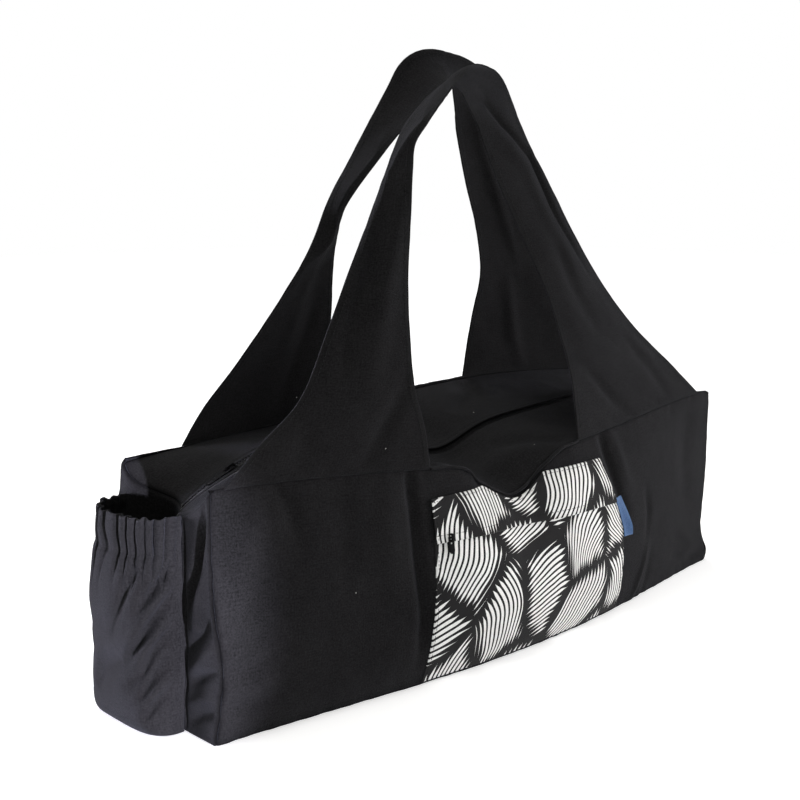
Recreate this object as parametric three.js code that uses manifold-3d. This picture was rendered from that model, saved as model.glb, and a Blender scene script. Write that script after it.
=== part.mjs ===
// Yoga kit bag: a long soft cotton bag with a zipped top, two ribbon handles, a gathered pocket
// on one end and a printed patch pocket on the front.
// Millimetres, +Z up. X runs along the bag, with the end pocket at -X, and the front faces -Y.
import * as THREE from "three";
import { mergeVertices } from "three/addons/utils/BufferGeometryUtils.js";
import Module from "manifold-3d";

// Cloth and clearances
const CLOTH = 1.6;
const PATCH_CLOTH = 1.4;
const HANDLE_CLOTH = 2.4;
const BASE_CLOTH = 2;
const GAP = 0.3;
const CORNER_GAP = 0.5;
const TOP_END_GAP = 1;
const HANDLE_SEAM_GAP = 0.8;
const HANDLE_SEAM_INSET = 0.4;
const HEM_LIFT = 0.4;

// Body: corner seams and the bows of the stuffed walls
const LENGTH = 680;
const HEIGHT = 200;
const HALF = LENGTH / 2;
const FRONT_Y = -80;
const BACK_BASE_Y = 84;
const BACK_TOP_Y = 64;
const BOW_POWER = 1.3;
const FRONT_BASE_BOW = 34;
const FRONT_TOP_BOW = 25;
const FRONT_BELLY = 15;
const BACK_BOW = 24;
const BACK_BELLY = 12;
const BOTTOM_ROLL = 2;
const BOTTOM_ROLL_HEIGHT = 20;

// Top edge of the front: a long sag, and a dip between the legs of the handle
const FRONT_SAG = 18;
const DIP = 34;
const DIP_X = -28;
const DIP_WIDTH = 48;

// Top edge of the back, lifted by its handle
const BACK_LIFT = 21;
const BACK_LIFT_X = 150;
const BACK_LIFT_WIDTH = 230;

// Top cloth: a slight sag, a slump at each end and a hump where the near legs pull
const TOP_SAG = 6;
const NEAR_SLUMP = 34;
const NEAR_SLUMP_REACH = 45;
const FAR_SLUMP = 12;
const FAR_SLUMP_REACH = 60;
const SLUMP_POWER = 0.8;
const HUMP = 14;
const HUMP_X = -215;
const HUMP_WIDTH = 55;

// Ends: the near wall hangs in, most of all behind its pocket, and the far wall swells near the bottom
const NEAR_PUSH = 14;
const NEAR_POCKET_PUSH = 24;
const NEAR_PUSH_RISE = 0.35;
const NEAR_BACK_LEAN = 14;
const FAR_BACK_LEAN = 8;
const FAR_CORNER_INSET = 6;
const FAR_CORNER_Z = 45;
const FAR_CORNER_HEIGHT = 40;
const FAR_FLARE = 7;
const FAR_FLARE_HEIGHT = 25;
const FAR_SWELL = 8;
const FAR_SWELL_Z = 30;
const FAR_SWELL_HEIGHT = 70;

// Top zip
const ZIP_SLOT = 9;
const ZIP_TAPE_WIDTH = 26;
const ZIP_TAPE_CLOTH = 1;
const ZIP_TAPE_GAP = 0.8;
const ZIP_COIL_WIDTH = 6.4;
const ZIP_COIL_DROP = 0.2;
const ZIP_SLIDER_X = -266;
const ZIP_SLIDER_CLEAR = 0.4;

// End pocket on the near wall: one row for each level of its wall
const POCKET_MIDDLE_Y = 13;
const POCKET_HALF = 42;
const POCKET_GAP = 0.8;
const POCKET_CORNER_POWER = 0.75;
const POCKET_PLEATS = 11;
const POCKET_PLEAT_STEPS = 4;
const POCKET_LEVELS = [
  { z: 0.5, reach: 0.5, half: 36, ripple: 0 },
  { z: 0.5, reach: 15, half: 38, ripple: 0 },
  { z: 1.6, reach: 26, half: 40, ripple: 0 },
  { z: 6, reach: 31.5, half: 41, ripple: 0 },
  { z: 18, reach: 36, half: 42, ripple: 0 },
  { z: 40, reach: 40.5, half: 42, ripple: 0 },
  { z: 70, reach: 44.5, half: 42, ripple: 0 },
  { z: 100, reach: 47, half: 42, ripple: 0.3 },
  { z: 122, reach: 45.5, half: 41.5, ripple: 0.9 },
  { z: 138, reach: 42.5, half: 41, ripple: 1.8 },
  { z: 145, reach: 39.5, half: 41, ripple: 1.4 },
  { z: 156, reach: 39.5, half: 41, ripple: 2.3 },
  { z: 167, reach: 37.5, half: 41, ripple: 2.1 },
  { z: 172, reach: 36.5, half: 41, ripple: 2.6 },
];

// Printed patch pocket: its side edges by height, its zip line and its top
const PATCH_EDGES = [
  { z: 0, left: -143, right: 135 },
  { z: 45, left: -140, right: 135 },
  { z: 87, left: -138, right: 131 },
  { z: 120, left: -137, right: 116 },
  { z: 163, left: -136, right: 95 },
];
const PATCH_GAP = 0.5;
const PATCH_BOTTOM_Z = 5;
const PATCH_TOP_Z = 163;
const PATCH_TOP_DROP = 3;
const PATCH_ZIP_Z = 124;
const PATCH_ZIP_SLOPE = -0.038;
const PATCH_ZIP_SLIT = 1.8;
const PATCH_BAND_PROUD = 0.8;
const PATCH_SLIDER_X = -122;
const PATCH_SLIDER_CLEAR = 1;

// Woven tab in the right seam of the patch pocket
const TAB_BOTTOM_Z = 84;
const TAB_TOP_Z = 120;
const TAB_WIDTH = 13;
const TAB_CLOTH = 1.2;

// Sliders and pulls of the two zips
const MAIN_ZIP = {
  plateLength: 12,
  plateWidth: 7.6,
  plate: 1.8,
  post: 1.8,
  bridgeWidth: 2,
  tunnelLength: 5.2,
  tunnelHeight: 2.8,
  bar: 1.6,
  eyeWidth: 3.4,
  eyeLength: 6,
  pullLength: 26,
  pullWidth: 7,
  pull: 1.4,
};
const PATCH_ZIP = {
  plateLength: 9,
  plateWidth: 6,
  plate: 1.4,
  post: 1.4,
  bridgeWidth: 1.6,
  tunnelLength: 4.2,
  tunnelHeight: 2.4,
  bar: 1.4,
  eyeWidth: 2.8,
  eyeLength: 5,
  pullLength: 14,
  pullWidth: 5.6,
  pull: 1.2,
};

// Handles: where each leg meets the top seam, and a row for each section along the ribbon.
// The outer edge runs round the outside of the arch and the inner edge round its opening.
// Between the edges the cloth bows by the belly, and is creased by the ridge at the fold's share
// of the width. Both are towards the front.
const FRONT_LEGS = { leftOuter: -326, leftInner: -128, rightInner: 70, rightOuter: 312 };
const FRONT_SECTIONS = [
  { outer: [-287, -74, 226], inner: [-131, -96, 219], belly: 2, fold: 0.5, ridge: 0 },
  { outer: [-242, -68, 255], inner: [-137, -90, 253], belly: 4, fold: 0.5, ridge: 0 },
  { outer: [-203, -57, 306], inner: [-131, -78, 294], belly: 5, fold: 0.3, ridge: 0 },
  { outer: [-169, -46, 353], inner: [-122, -66, 343], belly: 4, fold: 0.06, ridge: 1 },
  { outer: [-138, -36, 394], inner: [-111, -58, 397], belly: 2, fold: 0.12, ridge: 4 },
  { outer: [-113, -27, 427], inner: [-103, -52, 435], belly: 0, fold: 0.32, ridge: 8 },
  { outer: [-89, -20, 461], inner: [-96, -48, 457], belly: 0, fold: 0.85, ridge: 6 },
  { outer: [-75, -16, 476], inner: [-79, -46, 475], belly: 0, fold: 0.9, ridge: 3 },
  { outer: [-37, -8, 503], inner: [-62, -45, 492], belly: 2, fold: 0.5, ridge: 0 },
  { outer: [-13, -5, 516], inner: [-52, -44, 501], belly: 3, fold: 0.5, ridge: 0 },
  { outer: [8, -4, 528], inner: [-46, -43, 506], belly: 3, fold: 0.5, ridge: 0 },
  { outer: [30, -4, 535], inner: [-40, -42, 509], belly: 3, fold: 0.5, ridge: 0 },
  { outer: [46, -5, 533], inner: [-34, -40, 507], belly: 2, fold: 0.6, ridge: -1 },
  { outer: [55, -7, 529], inner: [-27, -37, 505], belly: 2, fold: 0.6, ridge: -2 },
  { outer: [61, -10, 521], inner: [-18, -34, 498], belly: 2, fold: 0.57, ridge: -3 },
  { outer: [65, -14, 509], inner: [-8, -31, 490], belly: 3, fold: 0.55, ridge: -3 },
  { outer: [73, -20, 484], inner: [3, -29, 479], belly: 4, fold: 0.5, ridge: -4 },
  { outer: [83, -26, 460], inner: [12, -32, 457], belly: 5, fold: 0.35, ridge: -3 },
  { outer: [101, -33, 429], inner: [23, -37, 429], belly: 6, fold: 0.2, ridge: -2 },
  { outer: [135, -45, 370], inner: [48, -50, 372], belly: 6, fold: 0.3, ridge: 0 },
  { outer: [173, -55, 318], inner: [69, -62, 322], belly: 5, fold: 0.5, ridge: 0 },
  { outer: [217, -63, 275], inner: [77, -74, 280], belly: 4, fold: 0.5, ridge: 0 },
  { outer: [268, -71, 236], inner: [77, -88, 240], belly: 2, fold: 0.5, ridge: 0 },
];
const BACK_LEGS = { leftOuter: -262, leftInner: -94, rightInner: 108, rightOuter: 318 };
const BACK_SECTIONS = [
  { outer: [-239, 70, 229], inner: [-89, 82, 235], belly: -2, fold: 0.5, ridge: 0 },
  { outer: [-210, 61, 265], inner: [-87, 79, 267], belly: -3, fold: 0.5, ridge: 0 },
  { outer: [-179, 53, 305], inner: [-87, 74, 301], belly: -3, fold: 0.3, ridge: 0 },
  { outer: [-147, 46, 350], inner: [-90, 67, 348], belly: -2, fold: 0.06, ridge: 2 },
  { outer: [-127, 50, 374], inner: [-94, 57, 375], belly: 0, fold: 0.38, ridge: 10 },
  { outer: [-105, 54, 410], inner: [-98, 40, 403], belly: 0, fold: 0.85, ridge: 6 },
  { outer: [-77, 57, 446], inner: [-67, 30, 445], belly: 0, fold: 0.9, ridge: 3 },
  { outer: [-48, 59, 484], inner: [-38, 23, 477], belly: -2, fold: 0.5, ridge: 0 },
  { outer: [-27, 58, 514], inner: [-19, 17, 497], belly: -3, fold: 0.5, ridge: 0 },
  { outer: [-12, 57, 536], inner: [-7, 14, 510], belly: -4, fold: 0.5, ridge: 0 },
  { outer: [5, 55, 548], inner: [3, 13, 518], belly: -4, fold: 0.5, ridge: 0 },
  { outer: [25, 52, 553], inner: [13, 15, 522], belly: -4, fold: 0.5, ridge: 0 },
  { outer: [46, 48, 551], inner: [25, 23, 524], belly: -3, fold: 0.5, ridge: 0 },
  { outer: [71, 45, 546], inner: [37, 33, 522], belly: -2, fold: 0.5, ridge: 0 },
  { outer: [92, 44, 535], inner: [46, 42, 515], belly: -2, fold: 0.5, ridge: 0 },
  { outer: [112, 46, 512], inner: [58, 50, 497], belly: -2, fold: 0.5, ridge: 0 },
  { outer: [128, 48, 485], inner: [65, 55, 480], belly: -3, fold: 0.5, ridge: 0 },
  { outer: [158, 53, 426], inner: [86, 60, 425], belly: -4, fold: 0.5, ridge: 0 },
  { outer: [188, 56, 378], inner: [106, 64, 381], belly: -4, fold: 0.5, ridge: 0 },
  { outer: [222, 60, 328], inner: [118, 68, 331], belly: -4, fold: 0.5, ridge: 0 },
  { outer: [256, 63, 284], inner: [113, 74, 290], belly: -3, fold: 0.5, ridge: 0 },
  { outer: [294, 66, 246], inner: [111, 80, 255], belly: -2, fold: 0.5, ridge: 0 },
];
const HANDLE_ROWS_PER_SECTION = 2;
const HANDLE_COLUMNS = 6;

// Grid of each panel: steps along it and across it, with the rows of a wall closer near the floor
const PANEL_GRID = { long: 32, front: 12, back: 8, across: 4, end: 10 };
const ROW_POWER = 1.4;
const PATCH_GRID = { wide: 14, pocket: 8, band: 3 };

// Colours of the cloth and the fittings
const COTTON = { color: 0x1d1d21, roughness: 0.95, metalness: 0 };
const COTTON_LINED = { color: 0x19191c, roughness: 0.95, metalness: 0 };
const PRINT = { color: 0x6f6f6c, roughness: 0.9, metalness: 0 };
const TAPE = { color: 0x101012, roughness: 0.85, metalness: 0 };
const FITTING = { color: 0x121214, roughness: 0.45, metalness: 0.3 };
const TAB = { color: 0x2c4a78, roughness: 0.8, metalness: 0 };

const { lerp, clamp, smoothstep } = THREE.MathUtils;
const wasm = await Module();
wasm.setup();

const bell = (value, middle, width) => Math.exp(-(((value - middle) / width) ** 2));

// Plan bow of the long walls: none at the corners, full in the middle
function planBow(x) {
  const share = Math.cos((Math.PI * clamp(x, -HALF, HALF)) / LENGTH);
  return Math.max(0, share) ** BOW_POWER;
}

// Heights of the two long top edges
function frontTopZ(x) {
  const sag = FRONT_SAG * Math.cos((Math.PI * x) / LENGTH) ** 2;
  return HEIGHT - sag - DIP * bell(x, DIP_X, DIP_WIDTH);
}

function backTopZ(x) {
  return HEIGHT + BACK_LIFT * bell(x, BACK_LIFT_X, BACK_LIFT_WIDTH);
}

const bottomRoll = (z) => BOTTOM_ROLL * Math.max(0, 1 - z / BOTTOM_ROLL_HEIGHT) ** 2;

// Outer faces of the four walls
function frontY(x, z) {
  const rise = clamp(z / frontTopZ(x), 0, 1);
  const bow = lerp(FRONT_BASE_BOW, FRONT_TOP_BOW, rise) + FRONT_BELLY * Math.sin(Math.PI * rise);
  return FRONT_Y - planBow(x) * bow + bottomRoll(z);
}

function backY(x, z) {
  const rise = clamp(z / backTopZ(x), 0, 1);
  const bow = BACK_BOW + BACK_BELLY * Math.sin(Math.PI * rise);
  return lerp(BACK_BASE_Y, BACK_TOP_Y, rise) + planBow(x) * bow - bottomRoll(z);
}

const nearBackX = (z) => -HALF + (NEAR_BACK_LEAN * z) / HEIGHT;
const farFlare = (z) => FAR_FLARE * Math.max(0, 1 - z / FAR_FLARE_HEIGHT) ** 2;

function farFrontX(z) {
  return HALF - FAR_CORNER_INSET * bell(z, FAR_CORNER_Z, FAR_CORNER_HEIGHT) + farFlare(z);
}

const farBackX = (z) => farFrontX(z) - (FAR_BACK_LEAN * z) / HEIGHT;

function nearX(y, z) {
  const share = clamp((y - FRONT_Y) / (backY(-HALF, z) - FRONT_Y), 0, 1);
  const inPocket = clamp((y - POCKET_MIDDLE_Y) / POCKET_HALF, -1, 1);
  const push =
    NEAR_PUSH * Math.sin(Math.PI * share) +
    NEAR_POCKET_PUSH * Math.cos((Math.PI / 2) * inPocket) ** 2;
  const rise = smoothstep(z / HEIGHT, 0, NEAR_PUSH_RISE);
  return -HALF + push * rise + (nearBackX(z) + HALF) * share ** 2;
}

function farX(y, z) {
  const share = clamp((y - FRONT_Y) / (backY(HALF, z) - FRONT_Y), 0, 1);
  const swell = FAR_SWELL * Math.sin(Math.PI * share) * bell(z, FAR_SWELL_Z, FAR_SWELL_HEIGHT);
  return lerp(farFrontX(z), farBackX(z), share) + swell;
}

// Top edge of the near wall in plan, at a share of the way from front to back
function nearEdgeX(share) {
  return nearX(lerp(FRONT_Y, BACK_TOP_Y, share), HEIGHT - NEAR_SLUMP);
}

// The top cloth, at a share of the way from its front edge to its back edge
function topPoint(x, share) {
  const front = frontTopZ(x);
  const back = backTopZ(x);
  const across = Math.sin(Math.PI * share);
  const slump =
    NEAR_SLUMP * Math.exp((nearEdgeX(share) - x) / NEAR_SLUMP_REACH) +
    FAR_SLUMP * Math.exp((x - HALF) / FAR_SLUMP_REACH);
  const hump = HUMP * bell(x, HUMP_X, HUMP_WIDTH);
  const z =
    lerp(front, back, share) -
    4 * TOP_SAG * share * (1 - share) * planBow(x) -
    slump * Math.max(0, across) ** SLUMP_POWER +
    hump * across;
  return [x, lerp(frontY(x, front), backY(x, back), share), z];
}

const topDepth = (x) => backY(x, backTopZ(x)) - frontY(x, frontTopZ(x));

// Heights of the end walls at a share of the way from front to back
const nearTopZ = (share) => topPoint(nearEdgeX(share), share)[2];
const farTopZ = (share) => topPoint(HALF, share)[2];

// A closed wall between two grids of points, turned so that its faces point out
function wall(columns, rows, outer, inner) {
  const positions = [];
  const triangles = [];
  for (const face of [outer, inner]) {
    for (let row = 0; row <= rows; row += 1) {
      for (let column = 0; column <= columns; column += 1) {
        positions.push(...face(column / columns, row / rows));
      }
    }
  }
  const layer = (columns + 1) * (rows + 1);
  const at = (side, column, row) => side * layer + row * (columns + 1) + column;
  const quad = (a, b, c, d) => triangles.push(a, b, c, a, c, d);
  for (let row = 0; row < rows; row += 1) {
    for (let column = 0; column < columns; column += 1) {
      quad(
        at(0, column, row),
        at(0, column + 1, row),
        at(0, column + 1, row + 1),
        at(0, column, row + 1),
      );
      quad(
        at(1, column, row),
        at(1, column, row + 1),
        at(1, column + 1, row + 1),
        at(1, column + 1, row),
      );
    }
  }
  for (let column = 0; column < columns; column += 1) {
    quad(at(1, column, 0), at(1, column + 1, 0), at(0, column + 1, 0), at(0, column, 0));
    quad(at(0, column, rows), at(0, column + 1, rows), at(1, column + 1, rows), at(1, column, rows));
  }
  for (let row = 0; row < rows; row += 1) {
    quad(at(0, 0, row), at(0, 0, row + 1), at(1, 0, row + 1), at(1, 0, row));
    quad(at(1, columns, row), at(1, columns, row + 1), at(0, columns, row + 1), at(0, columns, row));
  }
  if (signedVolume(positions, triangles) < 0) triangles.reverse();
  const geometry = new THREE.BufferGeometry();
  geometry.setAttribute("position", new THREE.Float32BufferAttribute(positions, 3));
  geometry.setIndex(triangles);
  geometry.computeVertexNormals();
  return geometry;
}

function signedVolume(positions, triangles) {
  const corner = (index) => new THREE.Vector3().fromArray(positions, 3 * index);
  let volume = 0;
  for (let i = 0; i < triangles.length; i += 3) {
    const [a, b, c] = triangles.slice(i, i + 3).map(corner);
    volume += a.dot(b.cross(c)) / 6;
  }
  return volume;
}

// A wall made by thickening a face along its own normals, towards its inside
function thickened(columns, rows, face, thickness, start) {
  const STEP = 1e-3;
  const point = (u, v) => new THREE.Vector3(...face(u, v));
  const offset = (distance) => (u, v) => {
    const along = point(Math.min(1, u + STEP), v).sub(point(Math.max(0, u - STEP), v));
    const up = point(u, Math.min(1, v + STEP)).sub(point(u, Math.max(0, v - STEP)));
    const normal = along.cross(up).normalize();
    return point(u, v).addScaledVector(normal, distance).toArray();
  };
  return wall(columns, rows, offset(start), offset(start + thickness));
}

// Value between the rows of a table at a height
function betweenRows(rows, z, column) {
  const above = rows.findIndex((row) => row.z >= z);
  const upper = above < 0 ? rows.length - 1 : Math.max(1, above);
  const low = rows[upper - 1];
  const high = rows[upper];
  return lerp(low[column], high[column], clamp((z - low.z) / (high.z - low.z), 0, 1));
}

// Long walls, ends and base
function frontPanel() {
  const face = (depth) => (u, v) => {
    const x = lerp(-HALF, farFrontX(v ** ROW_POWER * HEIGHT), u);
    const z = lerp(HEM_LIFT, frontTopZ(x), v ** ROW_POWER);
    return [x, frontY(x, z) + depth, z];
  };
  return wall(PANEL_GRID.long, PANEL_GRID.front, face(0), face(CLOTH));
}

function backPanel() {
  const face = (depth) => (u, v) => {
    const level = v ** ROW_POWER * HEIGHT;
    const x = lerp(nearBackX(level), farBackX(level), u);
    const z = lerp(HEM_LIFT, backTopZ(x), v ** ROW_POWER);
    return [x, backY(x, z) - depth, z];
  };
  return wall(PANEL_GRID.long, PANEL_GRID.back, face(0), face(CLOTH));
}

function endPanel(cornerX, wallX, topZ, inward) {
  const face = (depth) => (u, v) => {
    const z = lerp(HEM_LIFT, topZ(u), v ** ROW_POWER);
    const front = frontY(cornerX, z) + CLOTH + CORNER_GAP;
    const y = lerp(front, backY(cornerX, z) - CLOTH - CORNER_GAP, u);
    return [wallX(y, z) + inward * depth, y, z];
  };
  return wall(PANEL_GRID.end, PANEL_GRID.end, face(0), face(CLOTH));
}

function basePanel() {
  const face = (z) => (u, v) => {
    const x = lerp(-HALF + CLOTH + CORNER_GAP, farFrontX(BASE_CLOTH) - CLOTH - CORNER_GAP, u);
    const front = frontY(x, 0) + CLOTH + GAP;
    return [x, lerp(front, backY(x, 0) - CLOTH - GAP, v), z];
  };
  return wall(PANEL_GRID.long, 1, face(0), face(BASE_CLOTH));
}

// Ends of the top cloth at a share of the way from front to back
function topNearX(share) {
  return nearX(topPoint(-HALF, share)[1], nearTopZ(share)) + CLOTH + TOP_END_GAP;
}

function topFarX(share) {
  return farX(topPoint(HALF, share)[1], farTopZ(share)) - CLOTH - TOP_END_GAP;
}

// Half of the top, between two distances given as shares of its depth
function topPanel(shareStart, shareEnd) {
  const face = (drop) => (u, v) => {
    const guess = lerp(-HALF, HALF, u);
    const share = lerp(shareStart(guess), shareEnd(guess), v);
    const [x, y, z] = topPoint(lerp(topNearX(share), topFarX(share), u), share);
    return [x, y, z - drop];
  };
  return wall(PANEL_GRID.long, PANEL_GRID.across, face(0), face(CLOTH));
}

const seamShare = (x) => (CLOTH + GAP) / topDepth(x);
const slotShare = (x) => ZIP_SLOT / 2 / topDepth(x);

// Zip tape under the top cloth, with its coil standing up in the slot
function zipTape() {
  const tapeDrop = CLOTH + ZIP_TAPE_GAP;
  const profile = [
    { y: -ZIP_TAPE_WIDTH / 2, drop: tapeDrop },
    { y: -ZIP_COIL_WIDTH / 2, drop: tapeDrop },
    { y: 0, drop: ZIP_COIL_DROP },
    { y: ZIP_COIL_WIDTH / 2, drop: tapeDrop },
    { y: ZIP_TAPE_WIDTH / 2, drop: tapeDrop },
  ];
  const columns = profile.length - 1;
  const face = (dropOf) => (u, v) => {
    const step = profile[Math.round(u * columns)];
    const share = 0.5 + step.y / topDepth(lerp(-HALF, HALF, v));
    const [x, y, z] = topPoint(lerp(topNearX(share), topFarX(share), v), share);
    return [x, y, z - dropOf(step)];
  };
  const under = tapeDrop + ZIP_TAPE_CLOTH;
  return wall(columns, PANEL_GRID.long, face((step) => step.drop), face(() => under));
}

// A zip slider: a plate with a bridge over it. The plate's underside is at z = 0.
function zipSlider(size) {
  const plate = new THREE.BoxGeometry(size.plateLength, size.plateWidth, size.plate);
  plate.translate(0, 0, size.plate / 2);
  const inside = size.tunnelLength / 2;
  const outside = inside + size.post;
  const foot = size.plate / 2;
  const ceiling = size.plate + size.tunnelHeight;
  const side = new THREE.Shape();
  side.moveTo(-outside, foot);
  side.lineTo(-outside, ceiling + size.post / 2);
  side.lineTo(-inside, ceiling + size.post);
  side.lineTo(inside, ceiling + size.post);
  side.lineTo(outside, ceiling + size.post / 2);
  side.lineTo(outside, foot);
  side.lineTo(inside, foot);
  side.lineTo(inside, ceiling);
  side.lineTo(-inside, ceiling);
  side.lineTo(-inside, foot);
  const bridge = new THREE.ExtrudeGeometry(side, { depth: size.bridgeWidth, bevelEnabled: false });
  bridge.translate(0, 0, -size.bridgeWidth / 2);
  bridge.rotateX(Math.PI / 2);
  return joined(plate, bridge);
}

const pivotHeight = (size) => size.plate + size.tunnelHeight / 2;

// A zip pull lying towards -X, with its cross bar at the origin and an eye for the bridge's post
function zipPull(size) {
  const tip = size.pullWidth / 2;
  const outline = new THREE.Shape();
  outline.moveTo(size.bar / 2, -tip);
  outline.lineTo(size.bar / 2, tip);
  outline.lineTo(tip - size.pullLength, tip);
  outline.absarc(tip - size.pullLength, 0, tip, Math.PI / 2, 1.5 * Math.PI, false);
  const eye = new THREE.Path();
  eye.moveTo(-size.bar / 2, -size.eyeWidth / 2);
  eye.lineTo(-size.bar / 2 - size.eyeLength, -size.eyeWidth / 2);
  eye.lineTo(-size.bar / 2 - size.eyeLength, size.eyeWidth / 2);
  eye.lineTo(-size.bar / 2, size.eyeWidth / 2);
  outline.holes.push(eye);
  const pull = new THREE.ExtrudeGeometry(outline, {
    depth: size.pull,
    bevelEnabled: false,
    curveSegments: 6,
  });
  pull.translate(0, 0, -size.pull / 2);
  return pull;
}

function solidFrom(geometry) {
  const bare = new THREE.BufferGeometry();
  const source = geometry.index ? geometry.toNonIndexed() : geometry;
  bare.setAttribute("position", source.getAttribute("position"));
  const merged = mergeVertices(bare, 1e-4);
  return new wasm.Manifold(
    new wasm.Mesh({
      numProp: 3,
      vertProperties: merged.getAttribute("position").array,
      triVerts: new Uint32Array(merged.index.array),
    }),
  );
}

function joined(first, second) {
  const mesh = solidFrom(first).add(solidFrom(second)).getMesh();
  const geometry = new THREE.BufferGeometry();
  geometry.setAttribute("position", new THREE.BufferAttribute(mesh.vertProperties, 3));
  geometry.setIndex(new THREE.BufferAttribute(mesh.triVerts, 1));
  return geometry;
}

// End pocket: each level is a boxy arc out from the near wall, and the mouth is rippled by elastic
function endPocket() {
  const levels = POCKET_LEVELS.length - 1;
  const columns = POCKET_PLEATS * POCKET_PLEAT_STEPS;
  const rounded = (value) => Math.sign(value) * Math.abs(value) ** POCKET_CORNER_POWER;
  const face = (u, v) => {
    const level = v * levels;
    const low = POCKET_LEVELS[Math.min(levels - 1, Math.floor(level))];
    const high = POCKET_LEVELS[Math.min(levels - 1, Math.floor(level)) + 1];
    const part = level - Math.min(levels - 1, Math.floor(level));
    const z = lerp(low.z, high.z, part);
    const half = lerp(low.half, high.half, part);
    const reach = lerp(low.reach, high.reach, part);
    const ripple = lerp(low.ripple, high.ripple, part) * Math.sin(Math.PI * u) ** 0.3;
    const turn = Math.PI * u;
    const wave = ripple * Math.cos(2 * Math.PI * POCKET_PLEATS * u);
    const y = POCKET_MIDDLE_Y - (half + wave * Math.abs(Math.cos(turn))) * rounded(Math.cos(turn));
    const out = (reach + wave * Math.sin(turn)) * rounded(Math.sin(turn));
    const front = nearX(POCKET_MIDDLE_Y - half, z);
    const back = nearX(POCKET_MIDDLE_Y + half, z);
    return [lerp(front, back, u) - POCKET_GAP - out, y, z];
  };
  return thickened(columns, levels, face, CLOTH, 0);
}

// Printed patch pocket on the front, split along its zip line
const patchZipZ = (x) => PATCH_ZIP_Z + PATCH_ZIP_SLOPE * x;
const patchTopZ = (x) => Math.min(PATCH_TOP_Z, frontTopZ(x) - PATCH_TOP_DROP);

function patch(rows, lowZ, highZ, thickness) {
  const face = (depth) => (u, v) => {
    const guess = lerp(PATCH_EDGES[0].left, PATCH_EDGES[0].right, u);
    const rise = v ** ROW_POWER;
    const level = lerp(lowZ(guess), highZ(guess), rise);
    const left = betweenRows(PATCH_EDGES, level, "left");
    const x = lerp(left, betweenRows(PATCH_EDGES, level, "right"), u);
    const z = lerp(lowZ(x), highZ(x), rise);
    return [x, frontY(x, z) - PATCH_GAP - depth, z];
  };
  return wall(PATCH_GRID.wide, rows, face(thickness), face(0));
}

function labelTab() {
  const face = (depth) => (u, v) => {
    const z = lerp(TAB_BOTTOM_Z, TAB_TOP_Z, v);
    const x = betweenRows(PATCH_EDGES, z, "right") + 2 * GAP + u * TAB_WIDTH;
    return [x, frontY(x, z) - PATCH_GAP - depth, z];
  };
  return wall(2, 3, face(TAB_CLOTH), face(0));
}

// A ribbon handle from its left leg's seam, up through its sections and down to the right leg's seam
function handle(legs, sections, seam) {
  const edge = (name, left, right) => {
    const points = [seam(left), ...sections.map((row) => row[name]), seam(right)];
    return new THREE.CatmullRomCurve3(points.map((point) => new THREE.Vector3(...point)));
  };
  const outer = edge("outer", legs.leftOuter, legs.rightOuter);
  const inner = edge("inner", legs.leftInner, legs.rightInner);
  const spans = sections.length + 1;
  const flat = { belly: 0, fold: 0.5, ridge: 0 };
  const shapes = [flat, ...sections, flat];
  const seamPoint = (start, width) => {
    const from = start ? legs.leftOuter : legs.rightOuter;
    const to = start ? legs.leftInner : legs.rightInner;
    return new THREE.Vector3(...seam(lerp(from, to, width)));
  };
  const face = (u, v) => {
    const outside = outer.getPoint(v);
    const inside = inner.getPoint(v);
    const point = outside.clone().lerp(inside, u);
    const span = v * spans;
    const index = Math.min(spans - 1, Math.floor(span));
    const between = (name) => lerp(shapes[index][name], shapes[index + 1][name], span - index);
    const fold = between("fold");
    const crease = u < fold ? u / fold : (1 - u) / (1 - fold);
    const along = outer.getTangent(v).add(inner.getTangent(v));
    const normal = inside.clone().sub(outside).cross(along).normalize();
    point.addScaledVector(normal, 4 * between("belly") * u * (1 - u) + between("ridge") * crease);
    for (const start of [true, false]) {
      const fromSeam = start ? span : spans - span;
      if (fromSeam >= 1) continue;
      const straight = outer.getPoint(start ? 0 : 1).lerp(inner.getPoint(start ? 0 : 1), u);
      point.addScaledVector(seamPoint(start, u).sub(straight), (1 - fromSeam) ** 2);
    }
    return point.toArray();
  };
  const rows = spans * HANDLE_ROWS_PER_SECTION;
  return thickened(HANDLE_COLUMNS, rows, face, HANDLE_CLOTH, -HANDLE_CLOTH / 2);
}

function frontSeam(x) {
  const z = frontTopZ(x);
  return [x, frontY(x, z) + HANDLE_SEAM_INSET, z + HANDLE_SEAM_GAP];
}

function backSeam(x) {
  const z = backTopZ(x);
  return [x, backY(x, z) - HANDLE_SEAM_INSET, z + HANDLE_SEAM_GAP];
}

// Frame of the top zip's slider: tilted with the top cloth below it
function mainZipFrame() {
  const frame = new THREE.Group();
  const STEP = 1;
  const [x, y, z] = topPoint(ZIP_SLIDER_X, 0.5);
  const rise = topPoint(x + STEP, 0.5)[2] - topPoint(x - STEP, 0.5)[2];
  frame.position.set(x, y, z - ZIP_COIL_DROP + ZIP_SLIDER_CLEAR);
  frame.rotation.y = -Math.atan2(rise, 2 * STEP);
  return frame;
}

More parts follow.
